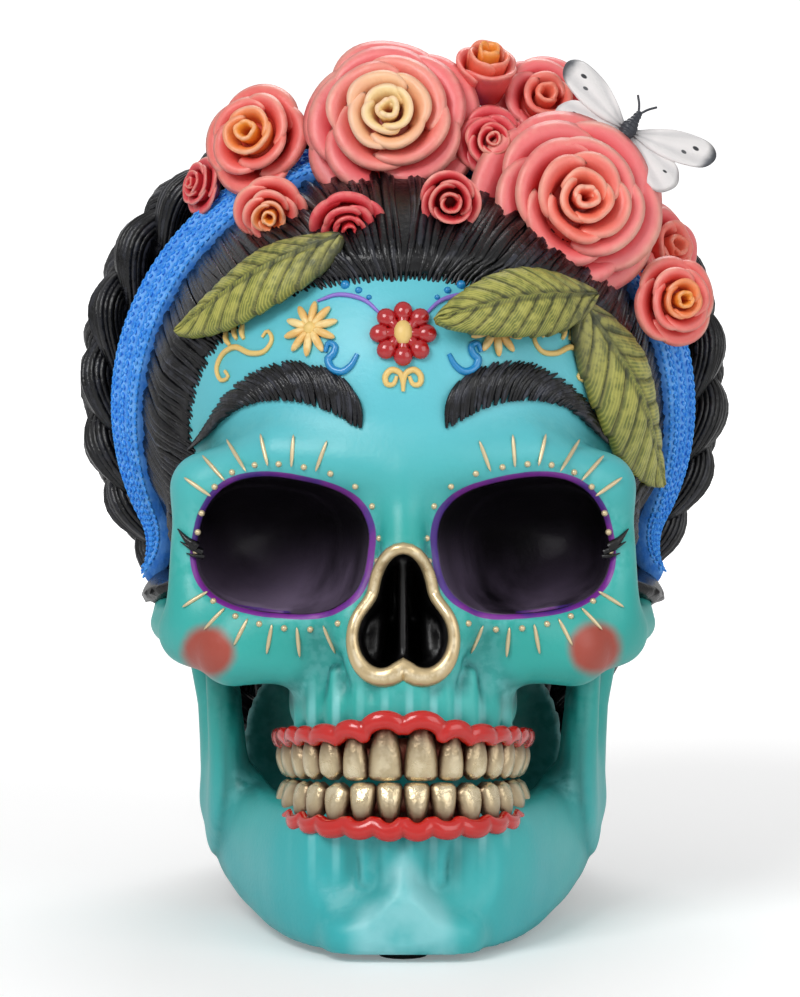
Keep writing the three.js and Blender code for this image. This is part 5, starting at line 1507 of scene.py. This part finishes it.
def petal(turn, wide, rim, low, roll, thick, wave, seed):
    u = np.linspace(-1, 1, petalGrid["across"])[:, None]
    v = np.linspace(0, 1, petalGrid["up"])[None, :]
    s = v * (1 - 0.22 * np.abs(u) ** 3)
    angle = turn + wide * u * (0.6 + 0.4 * np.sqrt(s))
    flare = np.clip((s - 1 + petalGrid["flare"]) / petalGrid["flare"], 0, 1)
    radius = low[0] + (rim[0] - low[0]) * s ** 0.55 + roll * flare ** 2 + u * rim[0] * 0.1
    height = low[1] + (rim[1] - low[1]) * s ** 0.9 - roll * 0.55 * flare ** 3
    height = height + wave * np.sin(angle * 5 + seed) * s ** 3
    radius = radius + wave * 0.8 * np.sin(angle * 3 + seed * 2) * s ** 2
    middle = np.stack([radius * np.cos(angle), radius * np.sin(angle), height], axis=-1)
    normal = unit(np.cross(np.gradient(middle, axis=0), np.gradient(middle, axis=1)))
    body = roundEnd(v, petalGrid["lip"]) * roundEnd(np.abs(u), petalGrid["edge"])
    offset = normal * (thick / 2 * body)[..., None]
    full = np.ones_like(radius)
    # painted shade towards each petal's foot, deep in the flower, and a painted highlight along its rim
    values = {"tip": v * full, "recess": np.clip(1 - s * 1.25, 0, 1) ** 1.5,
              "ridge": np.clip((v - 0.86) / 0.14, 0, 1) * full, "layer": rim[2] * full}
    return sheet(middle + offset, middle - offset, values)


roseHeart = {"steps": 8, "sides": 24, "radius": 0.5, "level": -0.22, "height": 0.3}


def makeHeart(radius):  # a lump under the petals, painted dark as the shade between them
    rings = []
    for k in range(roseHeart["steps"]):
        a = math.pi * (k + 0.5) / roseHeart["steps"]
        reach = roseHeart["radius"] * math.sin(a) * radius
        level = (roseHeart["level"] - roseHeart["height"] * math.cos(a)) * radius
        rings.append([(reach * math.cos(b), reach * math.sin(b), level)
                      for b in np.linspace(0, 2 * math.pi, roseHeart["sides"], endpoint=False)])
    flat = {"tip": 0.0, "recess": 1.0, "ridge": 0.0, "layer": 0.3}
    return skin(np.array(rings),
                {key: np.full((len(rings), len(rings[0])), value) for key, value in flat.items()})


def roseParts(layers, radius, seed):
    rng = random.Random(seed)
    parts = []
    for count, rimRadius, rimHeight, lowRadius, lowHeight, roll, thick in layers:
        start = rng.uniform(0, 2 * math.pi)
        for i in range(count):
            turn = start + 2 * math.pi * i / count
            wide = math.pi / count * rng.uniform(1.4, 1.62)
            rim = (rimRadius * radius * rng.uniform(0.93, 1.03),
                   (rimHeight + rng.uniform(-0.03, 0.03)) * radius,
                   rimRadius)
            low = (lowRadius * radius, lowHeight * radius)
            parts.append(petal(turn, wide, rim, low, roll * radius, thick * radius, 0.016 * radius,
                               rng.uniform(0, 6)))
    return parts + [makeHeart(radius)]


# Layers of petals: count, rim's radius and height, foot's radius and height, roll and thickness
openRose = [
    (5, 0.86, -0.14, 0.3, -0.46, 0.14, 0.1),
    (5, 0.73, 0.04, 0.28, -0.34, 0.13, 0.1),
    (4, 0.56, 0.19, 0.24, -0.22, 0.11, 0.095),
    (4, 0.4, 0.3, 0.18, -0.1, 0.08, 0.09),
    (3, 0.24, 0.37, 0.12, 0, 0.05, 0.08),
    (2, 0.1, 0.4, 0.05, 0.08, 0.02, 0.07),
]
smallRose = [
    (4, 0.84, -0.02, 0.3, -0.5, 0.18, 0.15),
    (4, 0.62, 0.26, 0.26, -0.35, 0.14, 0.14),
    (3, 0.38, 0.42, 0.2, -0.2, 0.08, 0.12),
    (2, 0.16, 0.48, 0.1, -0.1, 0.03, 0.1),
]
budRose = [
    (3, 0.72, 0.5, 0.3, -0.8, 0.12, 0.16),
    (3, 0.5, 0.8, 0.3, -0.6, 0.06, 0.14),
    (3, 0.24, 0.95, 0.15, -0.4, 0.03, 0.12),
]
flowerPlans = {  # layers, facing to the right and up, radius, tone and seed
    "rose_left": (openRose, (-0.06, 0.3), 21.0, "cream", 3),
    "rose_right": (openRose, (0.28, 0.16), 23.0, "coral", 8),
    "rose_back": (smallRose, (0.2, 0.45), 13.0, "coral", 5),
    "rose_side": (smallRose, (0.45, 0.05), 10.5, "orange", 6),
    "rose_temple": (smallRose, (0.75, 0.2), 13.0, "coral", 7),
    "rose_far_left": (smallRose, (-0.4, 0.3), 13.0, "orange", 9),
    "bud_far_left": (smallRose, (-0.85, 0.2), 7.0, "red", 10),
    "bud_left": (smallRose, (-0.15, -0.35), 8.5, "orange", 11),
    "ruffle": (smallRose, (0.1, -0.5), 8.5, "red", 12),
    "bud_middle": (budRose, (0.05, -0.1), 8.5, "red", 13),
    "bud_top": (budRose, (0.15, 0.8), 8.5, "orange", 14),
    "petals_middle": (smallRose, (0.1, 0.2), 8.5, "red", 15),
}
flowerStand = {"small": 0.24, "facingDown": 0.8}
petalTones = {  # heart, heart's depth, body, body's depth, rim; each depth is painted shade towards the petal's foot, and the paler rim is partly the petal's paint and partly a painted highlight
    "cream": ("F8DCA0", "F0A070", "EA5C62", "C82C2A", "F07E7E"),
    "coral": ("F07A60", "E04E3C", "EA5A62", "C82C2A", "F07E7E"),
    "orange": ("F29A38", "E0622C", "E85652", "C82C2A", "EE7A72"),
    "red": ("D8363E", "B01C24", "D2343E", "A81A22", "E2525A"),
}


def petalPaint(tone):
    heart, heartDeep, body, bodyDeep, rim = petalTones[tone]

    def base(s):
        tip = s.attribute("tip")
        # darker towards each petal's foot as painted shade, paler at the rim partly as paint and partly as
        # painted highlight
        outer = s.mix(s.ramp(tip, 0.1, 0.7), colour(bodyDeep), colour(body))
        outer = s.mix(s.ramp(tip, 0.66, 1.0), outer, colour(rim))
        inner = s.mix(s.ramp(tip, 0.0, 0.6), colour(heartDeep), colour(heart))
        away = s.ramp(s.plus(s.attribute("layer"), s.times(s.noise(60.0), 0.25)), 0.3, 0.78)
        edge = s.times(s.ramp(tip, 0.88, 0.99), s.ramp(s.noise(50.0), 0.42, 0.66), 0.5)
        return s.mix(edge, s.mix(away, inner, outer), colour("F6CFB4"))
    return paintMaterial("petal" + tone.capitalize(), base, bodyDeep, "F7C2AE", 0.42, 0.1, 0.8, 0.0, 0.08,
                         0.6, 0.3)


petalPaints = {tone: petalPaint(tone) for tone in petalTones}


def turnTo(normal):
    level = unit(np.cross(upWay, normal))
    return np.stack([level, np.cross(normal, level), normal], axis=-1)


def faceWay(x, z):
    return np.array([x, -math.sqrt(1 - x * x - z * z), z])


def middleOf(node):
    return toHead(np.mean(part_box(node), axis=0))


for node, (layers, facing, radius, tone, seed) in flowerPlans.items():
    verts, faces, values = joined(roseParts(layers, radius, seed))
    stand = 0 if layers is openRose else flowerStand["small"] - flowerStand["facingDown"] * min(facing[1], 0)
    verts = verts @ turnTo(faceWay(*facing)).T + middleOf(node) + faceWay(*facing) * stand * radius
    addSolid((verts, faces, values), node + "_petals", petalPaints[tone], [node])
print("flowers made")

# Butterfly

butterfly = {"facing": (0.2, -0.9, 0.38), "roll": 36.0, "wing": 18.5, "radius": 1.9, "length": 11.0,
             "lift": 1.3,
             "ripples": 16, "ripple": 0.16, "camber": 0.64, "thick": 0.45, "feeler": 0.28}
wingOutlines = [  # fore wing and hind wing, each with its lift
    ([(0.0, 0.05), (0.25, 0.26), (0.55, 0.42), (0.88, 0.46), (1.03, 0.34), (0.98, 0.14), (0.72, 0.0),
      (0.35, -0.06),
      (0.0, -0.02)], 0.5),
    ([(0.0, 0.03), (0.4, 0.04), (0.72, -0.06), (0.82, -0.28), (0.68, -0.48), (0.42, -0.46), (0.15, -0.28),
      (0.0, -0.06)], 0.0),
]
wingRoot = np.array([0.02, 0.0, 0.0])
feelerSpots = [(0, 5, 0.5), (1.2, 7, 1.2), (2.6, 8.6, 1.6)]
roll = math.radians(-butterfly["roll"])
rollTurn = np.array([[math.cos(roll), -math.sin(roll), 0], [math.sin(roll), math.cos(roll), 0], [0, 0, 1]])
butterflyTurn = turnTo(unit(np.array(butterfly["facing"]))) @ rollTurn
butterflyMiddle = middleOf("butterfly_body")


def onButterfly(points):
    return np.asarray(points, float) @ butterflyTurn.T + butterflyMiddle


def makeWing(side):
    parts = []
    for outline, lift in wingOutlines:
        line = smoothPath([(x, y, 0) for x, y in outline], 60)
        t = np.linspace(0, 1, 12)[None, :]
        flat = wingRoot + (line[:, None] - wingRoot) * t[..., None]
        along, over = flat[..., 0], flat[..., 1]
        length = np.hypot(along, over)
        wave = np.cos(np.arctan2(over, along + 1e-6) * butterfly["ripples"])
        height = lift + butterfly["camber"] * np.clip(length, 0, 1) ** 2
        height = height + butterfly["ripple"] * wave * np.clip(length * 2, 0, 1)
        middle = np.stack([side * (butterfly["radius"] * 0.6 + along * butterfly["wing"]),
                           over * butterfly["wing"], height], axis=-1)
        thick = (butterfly["thick"] * np.sqrt(np.clip(1 - t ** 8, 0, 1)))[..., None] * upWay
        values = {"recess": np.clip(-wave * 0.5, 0, 1) * 0.5, "ridge": length * 0, "along": along,
                  "over": over}
        verts, faces, values = sheet(middle + thick, middle - thick, values)
        if side > 0:
            faces = [face[::-1] for face in faces]
        parts.append((onButterfly(verts), faces, values))
    return joined(parts)


wingSpots = [(0.76, 0.28, 0.05), (0.66, 0.16, 0.042), (0.6, -0.2, 0.035)]


def wingColour(s):
    along, over = s.attribute("along"), s.attribute("over")
    tip = s.ramp(s.plus(along, s.times(s.noise(260.0), 0.16)), 0.93, 1.08)
    result = s.mix(tip, colour("E6E3E2"), colour("5A5D63"))
    result = s.mix(s.fade(along, 0.0, 0.3), result, colour("A9A7A8"))
    for x, y, size in wingSpots:
        across, up = s.less(along, x), s.less(over, y)
        near = s.math("SQRT", s.plus(s.times(across, across), s.times(up, up, 3.0)))
        result = s.mix(s.fade(near, size * 0.7, size), result, colour("23252A"))
    return result


wingWhite = paintMaterial("wingWhite", wingColour, "8E8F94", "FFFFFF", 0.5, 0.2, 1.0)
insectDark = paintMaterial("insectDark", "2C2F38", "0C0D10", "70737C", 0.4, 0.3, 1.0)
for side, key in sides:
    addSolid(makeWing(side), "wing_plate_" + key, wingWhite, ["wing_" + key])


def makeInsectBody():
    t = np.linspace(-1, 1, 40)
    waist = (0.8 + 0.2 * np.cos(t * 5)) * (1 + 0.1 * np.cos(t * 34))
    size = butterfly["radius"] * (1 - np.abs(t) ** 3) ** 0.5 * waist
    line = np.stack([t * 0, t * butterfly["length"] / 2, t * 0 + butterfly["lift"]], axis=-1)
    lines, radii = [onButterfly(line)], [np.maximum(size, 0.25)]
    for side in (-1, 1):
        lines.append(onButterfly(smoothPath([(side * x, y, z) for x, y, z in feelerSpots], 14)))
        radii.append(np.full(14, butterfly["feeler"]))
    return strandMesh(lines, radii, insectDark, 14)


addPiece(makeInsectBody(), "insect_body", None, ["butterfly_body"])
print("butterfly made")

# The plug and the felt pads keep their CAD shapes

plugGrey = paintMaterial("plugGrey", "3A3C3E", "1C1D1F", "5E6063", 0.65, 0.4, 1.5)
felt = paintMaterial("feltBlack", "191919", "0A0A0A", "343434", 0.95, 0.6, 3.0)
for node, material in (("pour_hole_plug", plugGrey), ("pad_front", felt), ("pad_left", felt),
                       ("pad_right", felt)):
    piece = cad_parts[node]
    piece.data.materials.clear()
    piece.data.materials.append(material)

print("cad box", [[round(v * 1000, 1) for v in corner] for corner in cadBox])
